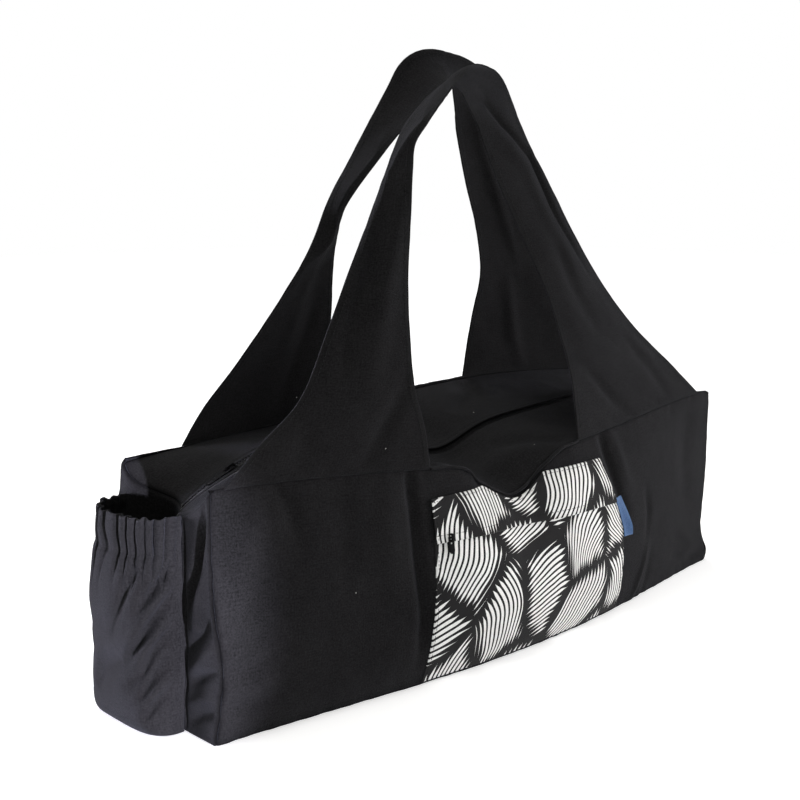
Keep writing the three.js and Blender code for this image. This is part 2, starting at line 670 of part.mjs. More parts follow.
// Frame of the patch pocket's slider: its X points up the pocket and its Z points out of it
function patchZipFrame() {
  const frame = new THREE.Group();
  const STEP = 1;
  const x = PATCH_SLIDER_X;
  const z = patchZipZ(x);
  const lean = (frontY(x, z + STEP) - frontY(x, z - STEP)) / (2 * STEP);
  const up = new THREE.Vector3(0, lean, 1).normalize();
  const across = new THREE.Vector3(-1, 0, 0);
  const out = new THREE.Vector3().crossVectors(up, across);
  frame.quaternion.setFromRotationMatrix(new THREE.Matrix4().makeBasis(up, across, out));
  const proud = PATCH_GAP + PATCH_CLOTH + PATCH_BAND_PROUD + PATCH_SLIDER_CLEAR;
  frame.position.set(x, frontY(x, z), z).addScaledVector(out, proud);
  return frame;
}

// Assembly
const bag = new THREE.Group();

function addPiece(parent, name, geometry, finish) {
  const mesh = new THREE.Mesh(geometry, new THREE.MeshStandardMaterial(finish));
  mesh.name = name;
  parent.add(mesh);
  return mesh;
}

function addZipFittings(frame, prefix, size) {
  addPiece(frame, `${prefix}_slider`, zipSlider(size), FITTING);
  addPiece(frame, `${prefix}_pull`, zipPull(size), FITTING).position.z = pivotHeight(size);
  bag.add(frame);
}

addPiece(bag, "front_panel", frontPanel(), COTTON);
addPiece(bag, "back_panel", backPanel(), COTTON);
addPiece(bag, "base_panel", basePanel(), COTTON);
addPiece(bag, "end_panel_near", endPanel(-HALF, nearX, nearTopZ, 1), COTTON);
addPiece(bag, "end_panel_far", endPanel(HALF, farX, farTopZ, -1), COTTON);
addPiece(bag, "top_panel_front", topPanel(seamShare, (x) => 0.5 - slotShare(x)), COTTON);
addPiece(bag, "top_panel_back", topPanel((x) => 0.5 + slotShare(x), (x) => 1 - seamShare(x)), COTTON);
addPiece(bag, "zip_tape", zipTape(), TAPE);
addZipFittings(mainZipFrame(), "zip", MAIN_ZIP);
addPiece(bag, "front_handle", handle(FRONT_LEGS, FRONT_SECTIONS, frontSeam), COTTON_LINED);
addPiece(bag, "back_handle", handle(BACK_LEGS, BACK_SECTIONS, backSeam), COTTON_LINED);
addPiece(bag, "end_pocket", endPocket(), COTTON);
const slit = PATCH_ZIP_SLIT / 2;
const pocketTopZ = (x) => patchZipZ(x) - slit;
const bandLowZ = (x) => patchZipZ(x) + slit;
addPiece(bag, "print_pocket", patch(PATCH_GRID.pocket, () => PATCH_BOTTOM_Z, pocketTopZ, PATCH_CLOTH), PRINT);
const bandCloth = PATCH_CLOTH + PATCH_BAND_PROUD;
addPiece(bag, "print_band", patch(PATCH_GRID.band, bandLowZ, patchTopZ, bandCloth), PRINT);
addZipFittings(patchZipFrame(), "pocket_zip", PATCH_ZIP);
addPiece(bag, "label_tab", labelTab(), TAB);

// The origin is the middle of the bottom of the whole bag's box
const box = new THREE.Box3().setFromObject(bag);
const middle = box.getCenter(new THREE.Vector3());
bag.position.set(-middle.x, -middle.y, -box.min.z);

export default bag;
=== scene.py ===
import math

import bpy
import numpy as np
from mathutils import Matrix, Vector


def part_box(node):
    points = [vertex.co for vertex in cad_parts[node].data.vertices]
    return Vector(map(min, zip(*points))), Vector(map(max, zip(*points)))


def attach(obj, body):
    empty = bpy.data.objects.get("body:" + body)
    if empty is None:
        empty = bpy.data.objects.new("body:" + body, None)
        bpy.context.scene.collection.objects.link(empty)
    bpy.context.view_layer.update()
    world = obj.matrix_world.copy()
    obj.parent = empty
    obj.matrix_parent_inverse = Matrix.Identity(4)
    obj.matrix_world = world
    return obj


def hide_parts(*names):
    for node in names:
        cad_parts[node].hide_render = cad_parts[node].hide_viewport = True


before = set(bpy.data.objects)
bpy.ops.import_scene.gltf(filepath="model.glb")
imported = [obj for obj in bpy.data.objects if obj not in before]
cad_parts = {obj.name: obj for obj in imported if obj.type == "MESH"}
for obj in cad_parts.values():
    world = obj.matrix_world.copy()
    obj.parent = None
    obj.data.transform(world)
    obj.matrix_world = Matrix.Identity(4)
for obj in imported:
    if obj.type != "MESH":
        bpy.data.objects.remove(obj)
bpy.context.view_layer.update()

# Lengths are in millimetres of the bag's own frame: X along it, the front at -Y, the end pocket at -X.
# They become metres of the part's frame when a mesh is made.
MM = 0.001
CLOTH = 1.6
FOOT_LIFT = 0.4
CORNER_GAP = 0.5
TOP_END_GAP = 1
TOP_SEAM_GAP = 0.3
BASE_CLOTH = 1.4
BASE_UNEVEN = 0.8

# Long walls: their bow in plan, and the belly of each
LENGTH = 680
HALF = LENGTH / 2
HEIGHT = 200
FRONT_Y = -80
BACK_BASE_Y = 84
BACK_TOP_Y = 64
BOW_POWER = 1.3
FRONT_BASE_BOW = 34
FRONT_TOP_BOW = 25
FRONT_BELLY = 15
BACK_BOW = 24
BACK_BELLY = 12
BOTTOM_ROLL = 2
BOTTOM_ROLL_HEIGHT = 20

# Top edges of the long walls: the front dips between the handle's legs, and the back is lifted
FRONT_SAG = 18
DIP = 34
DIP_X = -28
DIP_WIDTH = 48
DIP_RIPPLE = 2.6
DIP_RIPPLE_X = -88
DIP_RIPPLE_WIDTH = 30
BACK_LIFT = 21
BACK_LIFT_X = 150
BACK_LIFT_WIDTH = 230

# Top: it slumps at the ends, and humps over the filling
TOP_SAG = 6
NEAR_SLUMP = 34
NEAR_SLUMP_REACH = 45
FAR_SLUMP = 12
FAR_SLUMP_REACH = 60
SLUMP_POWER = 0.8
HUMP = 14
HUMP_X = -215
HUMP_WIDTH = 55

# Near end: pushed in, mostly behind the pocket, with a front corner that bulges
NEAR_PUSH = 5
NEAR_POCKET_PUSH = 24
NEAR_PUSH_RISE = 0.35
NEAR_BACK_LEAN = 14
NEAR_PINCH = 2
NEAR_PINCH_Z = 58
NEAR_PINCH_HEIGHT = 38
NEAR_PINCH_REACH = 28
NEAR_BULGE = 7
NEAR_BULGE_REACH = 55

# Far end: drawn in at the corner, flared at the foot and swollen above it
FAR_BACK_LEAN = 8
FAR_CORNER_INSET = 6
FAR_CORNER_Z = 45
FAR_CORNER_HEIGHT = 40
FAR_CORNER_DROP = 4.5
FAR_CORNER_ROUND = 9
FAR_CORNER_SHARE = 0.06
FAR_FLARE = 12
FAR_FLARE_Z = 10
FAR_FLARE_HEIGHT = 17
FAR_SWELL = 8
FAR_SWELL_Z = 30
FAR_SWELL_HEIGHT = 70

# Seams: how far a panel's edge turns in, over what width, and the puckers beside the stitching
SEAM_TURN = 2.2
SEAM_WIDTH = 2
SEAM_INSET = 0.8
SEAM_LAP = CLOTH + 1.2
PUCKER = 0.6
PUCKER_REACH = 9
PUCKER_LENGTH = 8
# Sewn edges are darkened with painted shade over this reach, free edges turn paler with wear, and the inner
# face gets a share of either
SEWN_SHADE_REACH = 1.8
FREE_WEAR_REACH = 2.2
FREE_WEAR = 0.6
INNER_WEAR_AND_SHADE = 0.5
INNER_WEAVE_SHIFT = 7.3
SEWN_PIECES = [
    side + "_cloth" for side in ("front", "back", "base", "near_end", "far_end", "top_front", "top_back")
]

# Unevenness of a soft panel: the height and the size of each layer, and how far from a seam it is full
HANG_LAYERS = [(1.7, 95), (0.6, 34), (0.13, 9)]
HANG_REACH = 30

# Stuffed left end of the front: the cloth turns round the end of the filling along an upright crease
END_CREASE = 8
END_CREASE_X = -283
END_CREASE_REACH = 150
END_CREASE_SOFT = 0.16
END_CREASE_WANDER = 5

# A fold dies away towards the ends of its path
FOLD_TAPER = 0.6

# Folds of each panel: the half width of the fold, its height, where a minus is a valley, and its path.
# Paths on the long walls are x, z. On an end they are y, z. On the top they are x and a share of its depth.
FRONT_FOLDS = [
    (8, -4.2, [(-337, 204), (-334, 164), (-332, 118)]),
    (10, 2.6, [(-300, 205), (-312, 150), (-326, 96)]),
    (8, -2.6, [(-284, 206), (-272, 176), (-266, 140)]),
    (6, -2, [(-342, 100), (-322, 84), (-296, 74)]),
    (6, -2.2, [(-342, 64), (-318, 58), (-290, 62)]),
    (5, 1.8, [(-342, 46), (-312, 44), (-286, 50)]),
    (6, -2, [(-342, 32), (-310, 28), (-284, 34)]),
    (6, -6, [(-148, 206), (-156, 168), (-154, 120), (-149, 64), (-152, 24)]),
    (14, 2.4, [(-176, 204), (-184, 150), (-178, 80)]),
    (15, -2.2, [(-232, 204), (-222, 160), (-226, 104)]),
    (6, -4.4, [(102, 196), (112, 160), (128, 122), (150, 92)]),
    (8, 2.2, [(118, 200), (132, 160), (148, 124)]),
    (5, 2.6, [(192, 60), (186, 40), (176, 20), (166, -4)]),
    (6, -2.2, [(182, 120), (190, 92), (188, 62)]),
    (16, -2.4, [(286, 190), (276, 130), (288, 70)]),
    (6, -1.4, [(204, 52), (200, 30), (190, -4)]),
    (7, -2, [(250, 30), (292, 12), (344, 14)]),
    (7, 1.6, [(270, 52), (306, 30), (344, 30)]),
    (7, 1.6, [(-60, 150), (-30, 142), (10, 150)]),
]
BACK_FOLDS = [
    (15, -4.5, [(-270, 205), (-255, 150), (-225, 96)]),
    (14, -3.9, [(-96, 205), (-92, 150), (-70, 100)]),
    (14, -3.9, [(108, 222), (102, 160), (74, 100)]),
    (14, -4.5, [(322, 205), (300, 150), (262, 110)]),
    (9, -3, [(-342, 44), (-300, 50), (-250, 70)]),
    (9, -3, [(342, 40), (304, 46), (262, 66)]),
    (20, 3, [(-140, 60), (0, 52), (130, 64)]),
    (10, 2.6, [(-180, 206), (-170, 160), (-178, 110), (-168, 70)]),
    (13, -2.6, [(10, 206), (22, 150), (12, 100)]),
    (10, 2.6, [(196, 214), (206, 170), (198, 120), (206, 84)]),
    (7, -2.6, [(-342, 96), (-316, 100), (-288, 112)]),
    (7, -2.6, [(342, 92), (316, 96), (288, 108)]),
]
NEAR_FOLDS = [
    (5.5, -7.5, [(-74, 186), (-64, 156), (-53, 120), (-46, 96)]),
    (7, 3.8, [(-66, 128), (-58, 104), (-52, 84)]),
    (5, -3.4, [(-84, 104), (-66, 86), (-46, 68)]),
    (5, 3.2, [(-84, 84), (-64, 66), (-44, 50)]),
    (4.5, -3.2, [(-84, 60), (-64, 52), (-45, 40)]),
    (5, 2.8, [(-84, 40), (-62, 34), (-45, 24)]),
    (4, -2.5, [(-82, 26), (-62, 20), (-46, 10)]),
    (8, -3, [(64, 168), (60, 120), (58, 60)]),
    (1.7, -3.2, [(-39.5, 176), (-39.5, 100), (-41, 30), (-42, -4)]),
]
FAR_FOLDS = [
    (14, -3.6, [(-70, 180), (-40, 140), (-20, 90)]),
    (14, -3.6, [(60, 190), (36, 140), (18, 92)]),
    (20, 9.6, [(-84, 28), (-46, 30), (-6, 30)]),
    (8, -3.6, [(-84, 74), (-40, 58), (0, 56)]),
    (9, -2.4, [(80, 62), (40, 46), (4, 42)]),
]
TOP_FOLDS = [
    (12, -4, [(-126, 0), (-100, 0.2), (-60, 0.36), (0, 0.42)]),
    (12, -4, [(70, 0), (48, 0.2), (10, 0.34)]),
    (14, 3, [(-70, 0.1), (-20, 0.22), (40, 0.16)]),
    (12, -4, [(-94, 1), (-60, 0.8), (-10, 0.7)]),
    (12, -4, [(108, 1), (80, 0.8), (30, 0.68)]),
    (12, -3, [(-328, 0.06), (-300, 0.24), (-250, 0.36)]),
    (14, -4, [(310, 0.1), (260, 0.26), (190, 0.32)]),
    (14, -4, [(312, 0.9), (262, 0.76), (190, 0.7)]),
    (13, 3, [(150, 0.1), (190, 0.2), (240, 0.12)]),
]

# End pocket: one row for each level of its wall
POCKET_MIDDLE_Y = 13
POCKET_HALF = 42
POCKET_GAP = 0.8
POCKET_TUCK = 3
POCKET_ROUND = 190
POCKET_PLEATS = 13
PLEAT_WANDER = 0.036
PLEAT_LEAN = 0.014
PLEAT_DEPTH = 1.25
PLEAT_DEPTH_VARIES = 0.5
PLEAT_SHARPNESS = 1.6
PLEAT_FADE = 0.3
CASING_GROOVE = 0.3
RIM_FRILL = 1.4
POCKET_UNEVEN = 0.7
POCKET_CASING_Z = 145
POCKET_RIM_Z = 172
POCKET_LEVELS = {
    "z": [0.5, 0.5, 1.6, 6, 18, 40, 70, 100, 122, 138, 145, 156, 167, 172],
    "reach": [0.5, 15, 26, 31.5, 35, 38, 41, 43, 42, 39.5, 37, 37, 36, 35],
    "front": [50, 53, 53, 53, 52.5, 52, 51, 50.5, 50.5, 50.5, 50.5, 50.5, 50.5, 50.5],
    "back": [36, 38, 40, 41, 42, 42, 42, 42, 41.5, 41, 41, 41, 41, 41],
    "corner": [0.5, 0.5, 0.5, 0.52, 0.56, 0.62, 0.68, 0.72, 0.75, 0.75, 0.75, 0.75, 0.75, 0.75],
    "ripple": [0, 0, 0, 0, 0, 0, 0, 0, 0.4, 1.5, 1.9, 2.3, 2.1, 2.6],
}
# Paths on the pocket are a share of the way round it, and a height
POCKET_FOLDS = [
    (4.5, -6.1, [(0.03, 139), (0.14, 120), (0.27, 100)]),
    (6, 4.1, [(0.04, 124), (0.16, 106), (0.3, 84), (0.38, 70)]),
    (5, -7.3, [(0.03, 113), (0.15, 94), (0.28, 74), (0.42, 58)]),
    (6, 4.1, [(0.04, 97), (0.18, 80), (0.32, 60)]),
    (4.5, -6.5, [(0.03, 86), (0.14, 72), (0.26, 52), (0.4, 40)]),
    (5, -6.1, [(0.03, 62), (0.16, 50), (0.3, 30)]),
    (5, 3.2, [(0.03, 50), (0.18, 38), (0.34, 22)]),
    (4, -4.5, [(0.03, 38), (0.15, 28), (0.28, 14)]),
    (6, -5.7, [(0.26, 137), (0.36, 116), (0.46, 88), (0.5, 74)]),
    (8, -4.9, [(0.44, 66), (0.52, 46), (0.58, 24)]),
    (6, -6.1, [(0.97, 126), (0.84, 104), (0.66, 78)]),
    (6, -6.1, [(0.97, 94), (0.82, 70), (0.64, 50)]),
    (5, -4.9, [(0.97, 58), (0.84, 42), (0.7, 24)]),
]

# Printed patch pocket and its band
PATCH_EDGES = {
    "z": [0, 45, 87, 120, 163],
    "left": [-143, -140, -138, -137, -136],
    "right": [135, 135, 131, 116, 95],
}
PATCH_CLOTH = 1.4
PATCH_CLEAR = 0.6
PATCH_BOTTOM_Z = 3
PATCH_TOP_Z = 163
PATCH_TOP_DROP = 3
PATCH_ZIP_Z = 124
PATCH_ZIP_SLOPE = -0.038
PATCH_BAND_PROUD = 1.7
PATCH_LAP = 2.4
PATCH_UNEVEN = 0.5
PATCH_FOLDS = [
    (16, 2, [(-132, 40), (-80, 58), (-20, 52)]),
    (16, 2, [(134, 30), (80, 52), (30, 50)]),
    (8, 1.4, [(-136, 118), (-90, 104), (-40, 108)]),
    (8, 1.4, [(116, 112), (70, 96), (20, 104)]),
]

# Woven tab in the right seam of the patch pocket
TAB_BOTTOM_Z = 79
TAB_TOP_Z = 120
TAB_WIDTH = 13
TAB_CLOTH = 1.2
TAB_RIBBON = 0.9
TAB_SEAM_GAP = 0.6
TAB_CURL = 2.2
TAB_BOW = 0.8

# Top zip: the back lip laps over the front one, and they part near the slider
ZIP_TAPE_WIDTH = 26
ZIP_TAPE_DROP = 2.4
ZIP_COIL_DROP = 1.2
ZIP_TAPE_CLOTH = 0.8
ZIP_OPEN_HALF = 4.5
ZIP_OPEN_X = -222
ZIP_CLOSED_X = -160
ZIP_SHOW = 1.6
ZIP_LIP_RISE = 1.6
ZIP_LAP_RISE = 3.7
ZIP_LAP = 2.5
ZIP_LIP_WIDTH = 9
ZIP_LIP_OPEN_RISE = 0.6
ZIP_GROOVE = 1.2
ZIP_GROOVE_PLACE = 7
ZIP_GROOVE_WIDTH = 1.4
ZIP_COIL_START = 30
ZIP_COIL_STOP = 12
ZIP_TOOTH_RADIUS = 0.75
ZIP_TOOTH_PITCH = 1.5
ZIP_TOOTH_LENGTH = 3.4
ZIP_TOOTH_PAST = 0.5

# Handles: where each leg meets the seam, then each section's outer and inner edge, the bow of the cloth
# between them, and a crease at a share of the width. Bow and crease are towards the front. A step is the
# length that a section counts for.
HANDLE_CLOTH = 1.5
HANDLE_HEM = 0.3
HANDLE_HEM_WIDTH = 6
HANDLE_SEAM_TUCK = 1.4
HANDLE_SEAM_INSET = 0.4
HANDLE_SEAM_STEP = 40
HANDLE_CLOTH_STEP = 38
HANDLE_PUCKER = 0.35
FRONT_LEGS = {"left_outer": -326, "left_inner": -128, "right_inner": 70, "right_outer": 312}
SECTION_COLUMNS = ("outer", "inner", "belly", "fold", "ridge")
FRONT_SECTIONS = [
    ((-287, -74, 226), (-131, -96, 219), 2, 0.5, 0),
    ((-242, -68, 255), (-137, -90, 253), 4, 0.5, 0),
    ((-203, -57, 306), (-131, -78, 294), 5, 0.3, 0),
    ((-169, -46, 353), (-122, -66, 343), 4, 0.06, 1),
    ((-138, -36, 394), (-111, -58, 397), 2, 0.12, 4),
    ((-113, -27, 427), (-103, -52, 435), 0, 0.32, 8),
    ((-89, -20, 461), (-96, -48, 457), 0, 0.85, 6),
    ((-75, -16, 476), (-79, -46, 475), 0, 0.9, 3),
    ((-37, -8, 503), (-62, -45, 492), 2, 0.5, 0),
    ((-13, -5, 516), (-52, -44, 501), 3, 0.5, 0),
    ((8, -4, 528), (-46, -43, 506), 3, 0.5, 0),
    ((30, -4, 535), (-40, -42, 509), 3, 0.5, 0),
    ((46, -5, 533), (-34, -40, 507), 2, 0.6, -1),
    ((55, -7, 529), (-27, -37, 505), 2, 0.6, -2),
    ((61, -10, 521), (-18, -34, 498), 2, 0.57, -3),
    ((65, -14, 509), (-8, -31, 490), 3, 0.55, -3),
    ((73, -20, 484), (3, -29, 479), 4, 0.5, -4),
    ((83, -26, 460), (12, -32, 457), 5, 0.35, -3),
    ((101, -33, 429), (23, -37, 429), 6, 0.2, -2),
    ((135, -45, 370), (48, -50, 372), 6, 0.3, 0),
    ((173, -55, 318), (69, -62, 322), 5, 0.5, 0),
    ((217, -63, 275), (77, -74, 280), 4, 0.5, 0),
    ((268, -71, 236), (77, -88, 240), 2, 0.5, 0),
]
BACK_LEGS = {"left_outer": -262, "left_inner": -94, "right_inner": 108, "right_outer": 318}
BACK_SECTIONS = [
    ((-239, 70, 229), (-89, 82, 235), -2, 0.5, 0),
    ((-210, 61, 265), (-87, 79, 267), -3, 0.5, 0),
    ((-179, 53, 305), (-87, 74, 301), -3, 0.3, 0),
    ((-147, 46, 350), (-90, 67, 348), -2, 0.06, 2),
    ((-127, 50, 374), (-94, 57, 375), 0, 0.38, 10),
    ((-105, 54, 410), (-98, 40, 403), 0, 0.85, 6),
    ((-77, 57, 446), (-67, 30, 445), 0, 0.9, 3),
    ((-48, 59, 484), (-38, 23, 477), -2, 0.5, 0),
    ((-27, 58, 514), (-19, 17, 497), -3, 0.5, 0),
    ((-12, 57, 536), (-7, 14, 510), -4, 0.5, 0),
    ((5, 55, 548), (3, 13, 518), -4, 0.5, 0),
    ((25, 52, 553), (13, 15, 522), -4, 0.5, 0),
    ((46, 48, 551), (25, 23, 524), -3, 0.5, 0),
    ((71, 45, 546), (37, 33, 522), -2, 0.5, 0),
    ((92, 44, 535), (46, 42, 515), -2, 0.5, 0),
    ((112, 46, 512), (58, 50, 497), -2, 0.5, 0),
    ((128, 48, 485), (65, 55, 480), -3, 0.5, 0),
    ((158, 53, 426), (86, 60, 425), -4, 0.5, 0),
    ((188, 56, 378), (106, 64, 381), -4, 0.5, 0),
    ((222, 60, 328), (118, 68, 331), -4, 0.5, 0),
    ((256, 63, 284), (113, 74, 290), -3, 0.5, 0),
    ((294, 66, 246), (111, 80, 255), -2, 0.5, 0),
]
# Folds of the handles: paths are a share of the width and the number of the section
FRONT_HANDLE_FOLDS = [
    (7.5, -5.4, [(0.46, 5.1), (0.36, 3.64), (0.32, 2.95), (0.25, 2.27), (0.25, 1.4)]),
    (10, 3, [(0.72, 4.6), (0.66, 3.6), (0.6, 2.4), (0.55, 1.2)]),
    (8, -3, [(0.95, 1.3), (0.8, 0.6), (0.66, -0.5), (0.6, -1)]),
    (10, -1.6, [(0.2, 0.6), (0.26, -0.2), (0.3, -1)]),
    (4, -4, [(0.87, 14), (0.61, 15), (0.47, 16), (0.14, 17.34), (0.22, 18.57), (0.2, 19.6)]),
    (9, 2.6, [(0.8, 15.6), (0.7, 16.4), (0.42, 17.6), (0.48, 18.6), (0.42, 19.8)]),
    (9, -2, [(0.5, 18.8), (0.62, 20), (0.56, 21)]),
    (6, -3, [(0.86, 21.8), (0.7, 22.5), (0.58, 23)]),
    (8, -2, [(0.3, 21), (0.26, 22), (0.24, 23)]),
]
BACK_HANDLE_FOLDS = [
    (9, 2.4, [(0.4, 4), (0.4, 2.6), (0.5, 1)]),
    (9, -2.4, [(0.75, 3), (0.7, 1.4), (0.66, -1)]),
    (7, 2.4, [(0.5, 14), (0.45, 17), (0.4, 19)]),
    (9, 2.6, [(0.6, 19), (0.6, 20.4), (0.56, 22)]),
]

# Stitching: each stitch is a row of rings, at a share of its length, with their size and their lift
STITCH = 2.7
STITCH_SPACING = 3.5
STITCH_RADIUS = 0.26
STITCH_SIDES = 5
STITCH_FLATNESS = 0.8
STITCH_RINGS = [(-0.5, 0.25, -0.5), (-0.3, 0.9, 0.35), (0, 1, 0.6), (0.3, 0.9, 0.35), (0.5, 0.25, -0.5)]
HANDLE_STITCH_INSET = 5
HANDLE_STITCH_START = 0.012
TOP_STITCH_INSET = 7
PATCH_STITCH_INSET = 2.4
POCKET_STITCH_INSET = 3

# Rolled hem between the legs: its height over the seam, its thickness, and how much each varies
HEM_RISE = 0.2
HEM_RISE_VARIES = 0.7
HEM_WANDER = 1.1
HEM_RADIUS = 1.4
HEM_RADIUS_VARIES = 0.35
HEM_WEAR = 0.7
HEM_SIDES = 8
HEM_STEPS = 160

# Camera of the photograph
CAMERA_PLACE = (-833, -790, 413)
CAMERA_YAW = 45.88
CAMERA_PITCH = 9.64
CAMERA_LENS = 54

# Light that comes from all round, and the glow of the lit floor
AMBIENT = 0.22
FLOOR_GLOW_NEAR = 0.52
FLOOR_GLOW_FAR = 0.9
FLOOR_GLOW_START = 0.9
FLOOR_GLOW_END = 3.0
FLOOR_SIZE = 14

# Softboxes: name, place, target, size, power, colour and spread in degrees
SOFTBOXES = [
    ("window_side", (-1.35, 1.45, 0.16), (-0.36, 0, 0.08), (0.9, 0.3), 5.6, (0.84, 0.82, 1), 28),
    ("far_side", (2.2, -1.0, 0.3), (0.2, -0.1, 0.16), (1.2, 0.5), 5, (1, 0.97, 0.98), 44),
    ("overhead", (-0.5, -0.3, 2.3), (0, 0, 0.2), (1.6, 1.6), 28, (1, 0.99, 0.95), 180),
    ("behind", (0.1, 1.3, 2), (0, 0, 0.2), (1.6, 0.6), 35, (1, 0.99, 0.97), 180),
]
# Spot light on the near end and the left of the front: name, place, target, power, colour and cone
WINDOW_SPOT = ("window_patch", (-0.73, -1.96, 0.16), (-0.532, -0.068, 0.1), 750, (0.86, 0.84, 1), 15)


def lerp(start, end, share):
    return start + (end - start) * share


def bell(value, middle, width):
    return np.exp(-(((value - middle) / width) ** 2))


def ramp(value, low, high):
    share = np.clip((value - low) / (high - low), 0, 1)
    return share * share * (3 - 2 * share)


def spaced(x, y, z):
    return np.stack(np.broadcast_arrays(x, y, z), axis=-1).astype(float)


def cloth_noise(across, along, size, seed):
    cells = 64
    table = np.random.default_rng(seed).uniform(-1, 1, (cells, cells))
    column = np.floor(across / size).astype(int)
    row = np.floor(along / size).astype(int)
    s = across / size - column
    t = along / size - row
    s = s**3 * (s * (6 * s - 15) + 10)
    t = t**3 * (t * (6 * t - 15) + 10)

    def corner(right, up):
        return table[(column + right) % cells, (row + up) % cells]

    return lerp(lerp(corner(0, 0), corner(1, 0), s), lerp(corner(0, 1), corner(1, 1), s), t)


def unit(vector):
    return vector / max(np.linalg.norm(vector), 1e-9)


def lengths_along(path):
    """How far along a path each of its points lies."""
    return np.concatenate([[0], np.cumsum(np.linalg.norm(np.diff(path, axis=0), axis=1))])


def unit_normals(points):
    normals = np.cross(np.gradient(points, axis=1), np.gradient(points, axis=0))
    return normals / np.maximum(np.linalg.norm(normals, axis=-1, keepdims=True), 1e-9)


# Walls of the bag: the forms of the solids, with the small ones that cloth adds at the corners and the dip
def plan_bow(x):
    share = np.cos(np.pi * np.clip(x, -HALF, HALF) / LENGTH)
    return np.maximum(0, share) ** BOW_POWER


def front_top_z(x):
    ripple = DIP_RIPPLE * cloth_noise(x, 0 * x, 12, 15) * bell(x, DIP_RIPPLE_X, DIP_RIPPLE_WIDTH)
    return HEIGHT - FRONT_SAG * np.cos(np.pi * x / LENGTH) ** 2 - DIP * bell(x, DIP_X, DIP_WIDTH) + ripple


def back_top_z(x):
    return HEIGHT + BACK_LIFT * bell(x, BACK_LIFT_X, BACK_LIFT_WIDTH)


def bottom_roll(z):
    return BOTTOM_ROLL * np.maximum(0, 1 - z / BOTTOM_ROLL_HEIGHT) ** 2


def front_y(x, z):
    rise = np.clip(z / front_top_z(x), 0, 1)
    bow = lerp(FRONT_BASE_BOW, FRONT_TOP_BOW, rise) + FRONT_BELLY * np.sin(np.pi * rise)
    bulge = NEAR_BULGE * bell(z, NEAR_PINCH_Z, NEAR_PINCH_HEIGHT) * bell(x, -HALF, NEAR_BULGE_REACH)
    return FRONT_Y - plan_bow(x) * bow - bulge + bottom_roll(z)


def back_y(x, z):
    rise = np.clip(z / back_top_z(x), 0, 1)
    bow = BACK_BOW + BACK_BELLY * np.sin(np.pi * rise)
    return lerp(BACK_BASE_Y, BACK_TOP_Y, rise) + plan_bow(x) * bow - bottom_roll(z)


def near_back_x(z):
    return -HALF + NEAR_BACK_LEAN * z / HEIGHT


def near_front_x(z):
    return -HALF + NEAR_PINCH * bell(z, NEAR_PINCH_Z, NEAR_PINCH_HEIGHT)


def far_front_x(z):
    flare = FAR_FLARE * bell(z, FAR_FLARE_Z, FAR_FLARE_HEIGHT)
    return HALF - FAR_CORNER_INSET * bell(z, FAR_CORNER_Z, FAR_CORNER_HEIGHT) + flare


def far_back_x(z):
    return far_front_x(z) - FAR_BACK_LEAN * z / HEIGHT


def near_x(y, z):
    share = np.clip((y - FRONT_Y) / (back_y(-HALF, z) - FRONT_Y), 0, 1)
    in_pocket = np.clip((y - POCKET_MIDDLE_Y) / POCKET_HALF, -1, 1)
    push = NEAR_PUSH * np.sin(np.pi * share) + NEAR_POCKET_PUSH * np.cos(np.pi / 2 * in_pocket) ** 2
    lean = (near_back_x(z) + HALF) * share**2
    pinch = (near_front_x(z) + HALF) * bell(y, FRONT_Y, NEAR_PINCH_REACH)
    return -HALF + push * ramp(z / HEIGHT, 0, NEAR_PUSH_RISE) + lean + pinch


def far_x(y, z):
    share = np.clip((y - FRONT_Y) / (back_y(HALF, z) - FRONT_Y), 0, 1)
    swell = FAR_SWELL * np.sin(np.pi * share) * bell(z, FAR_SWELL_Z, FAR_SWELL_HEIGHT)
    return lerp(far_front_x(z), far_back_x(z), share) + swell


def near_edge_x(share):
    return near_x(lerp(FRONT_Y, BACK_TOP_Y, share), HEIGHT - NEAR_SLUMP)


def top_point(x, share):
    front = front_top_z(x)
    back = back_top_z(x)
    across = np.maximum(0, np.sin(np.pi * share))
    slump = NEAR_SLUMP * np.exp((near_edge_x(share) - x) / NEAR_SLUMP_REACH)
    slump = slump + FAR_SLUMP * np.exp((x - HALF) / FAR_SLUMP_REACH)
    sag = 4 * TOP_SAG * share * (1 - share) * plan_bow(x)
    z = lerp(front, back, share) - sag - slump * across**SLUMP_POWER
    z = z + HUMP * bell(x, HUMP_X, HUMP_WIDTH) * across
    return x, lerp(front_y(x, front), back_y(x, back), share), z


def top_depth(x):
    return back_y(x, back_top_z(x)) - front_y(x, front_top_z(x))


def near_top_z(share):
    return top_point(near_edge_x(share), share)[2]


def far_top_z(share):
    return top_point(HALF, share)[2] - FAR_CORNER_DROP * bell(share, 0, FAR_CORNER_SHARE)


def top_near_x(share):
    return near_x(top_point(-HALF, share)[1], near_top_z(share)) + CLOTH + TOP_END_GAP


def top_far_x(share):
    return far_x(top_point(HALF, share)[1], far_top_z(share)) - CLOTH - TOP_END_GAP


# Small forms of the cloth
def fold_height(points, folds, place):
    """Height of the folds at each point. place turns a point of a path into a point in space."""
    total = np.zeros(points.shape[:-1])
    for width, height, steps in folds:
        path = np.array([place(*step) for step in steps])
        lengths = np.linalg.norm(np.diff(path, axis=0), axis=1)
        before = np.concatenate([[0], np.cumsum(lengths)])
        nearest = np.full(total.shape, np.inf)
        along = np.zeros(total.shape)
        for index, length in enumerate(lengths):
            way = (path[index + 1] - path[index]) / length
            reached = np.clip((points - path[index]) @ way, 0, length)
            distance = np.linalg.norm(points - path[index] - reached[..., None] * way, axis=-1)
            closer = distance < nearest
            nearest = np.where(closer, distance, nearest)
            along = np.where(closer, before[index] + reached, along)
        taper = np.sin(np.pi * np.clip(along / before[-1], 0.02, 0.98)) ** FOLD_TAPER
        total += height * taper * bell(nearest, 0, width)
    return total


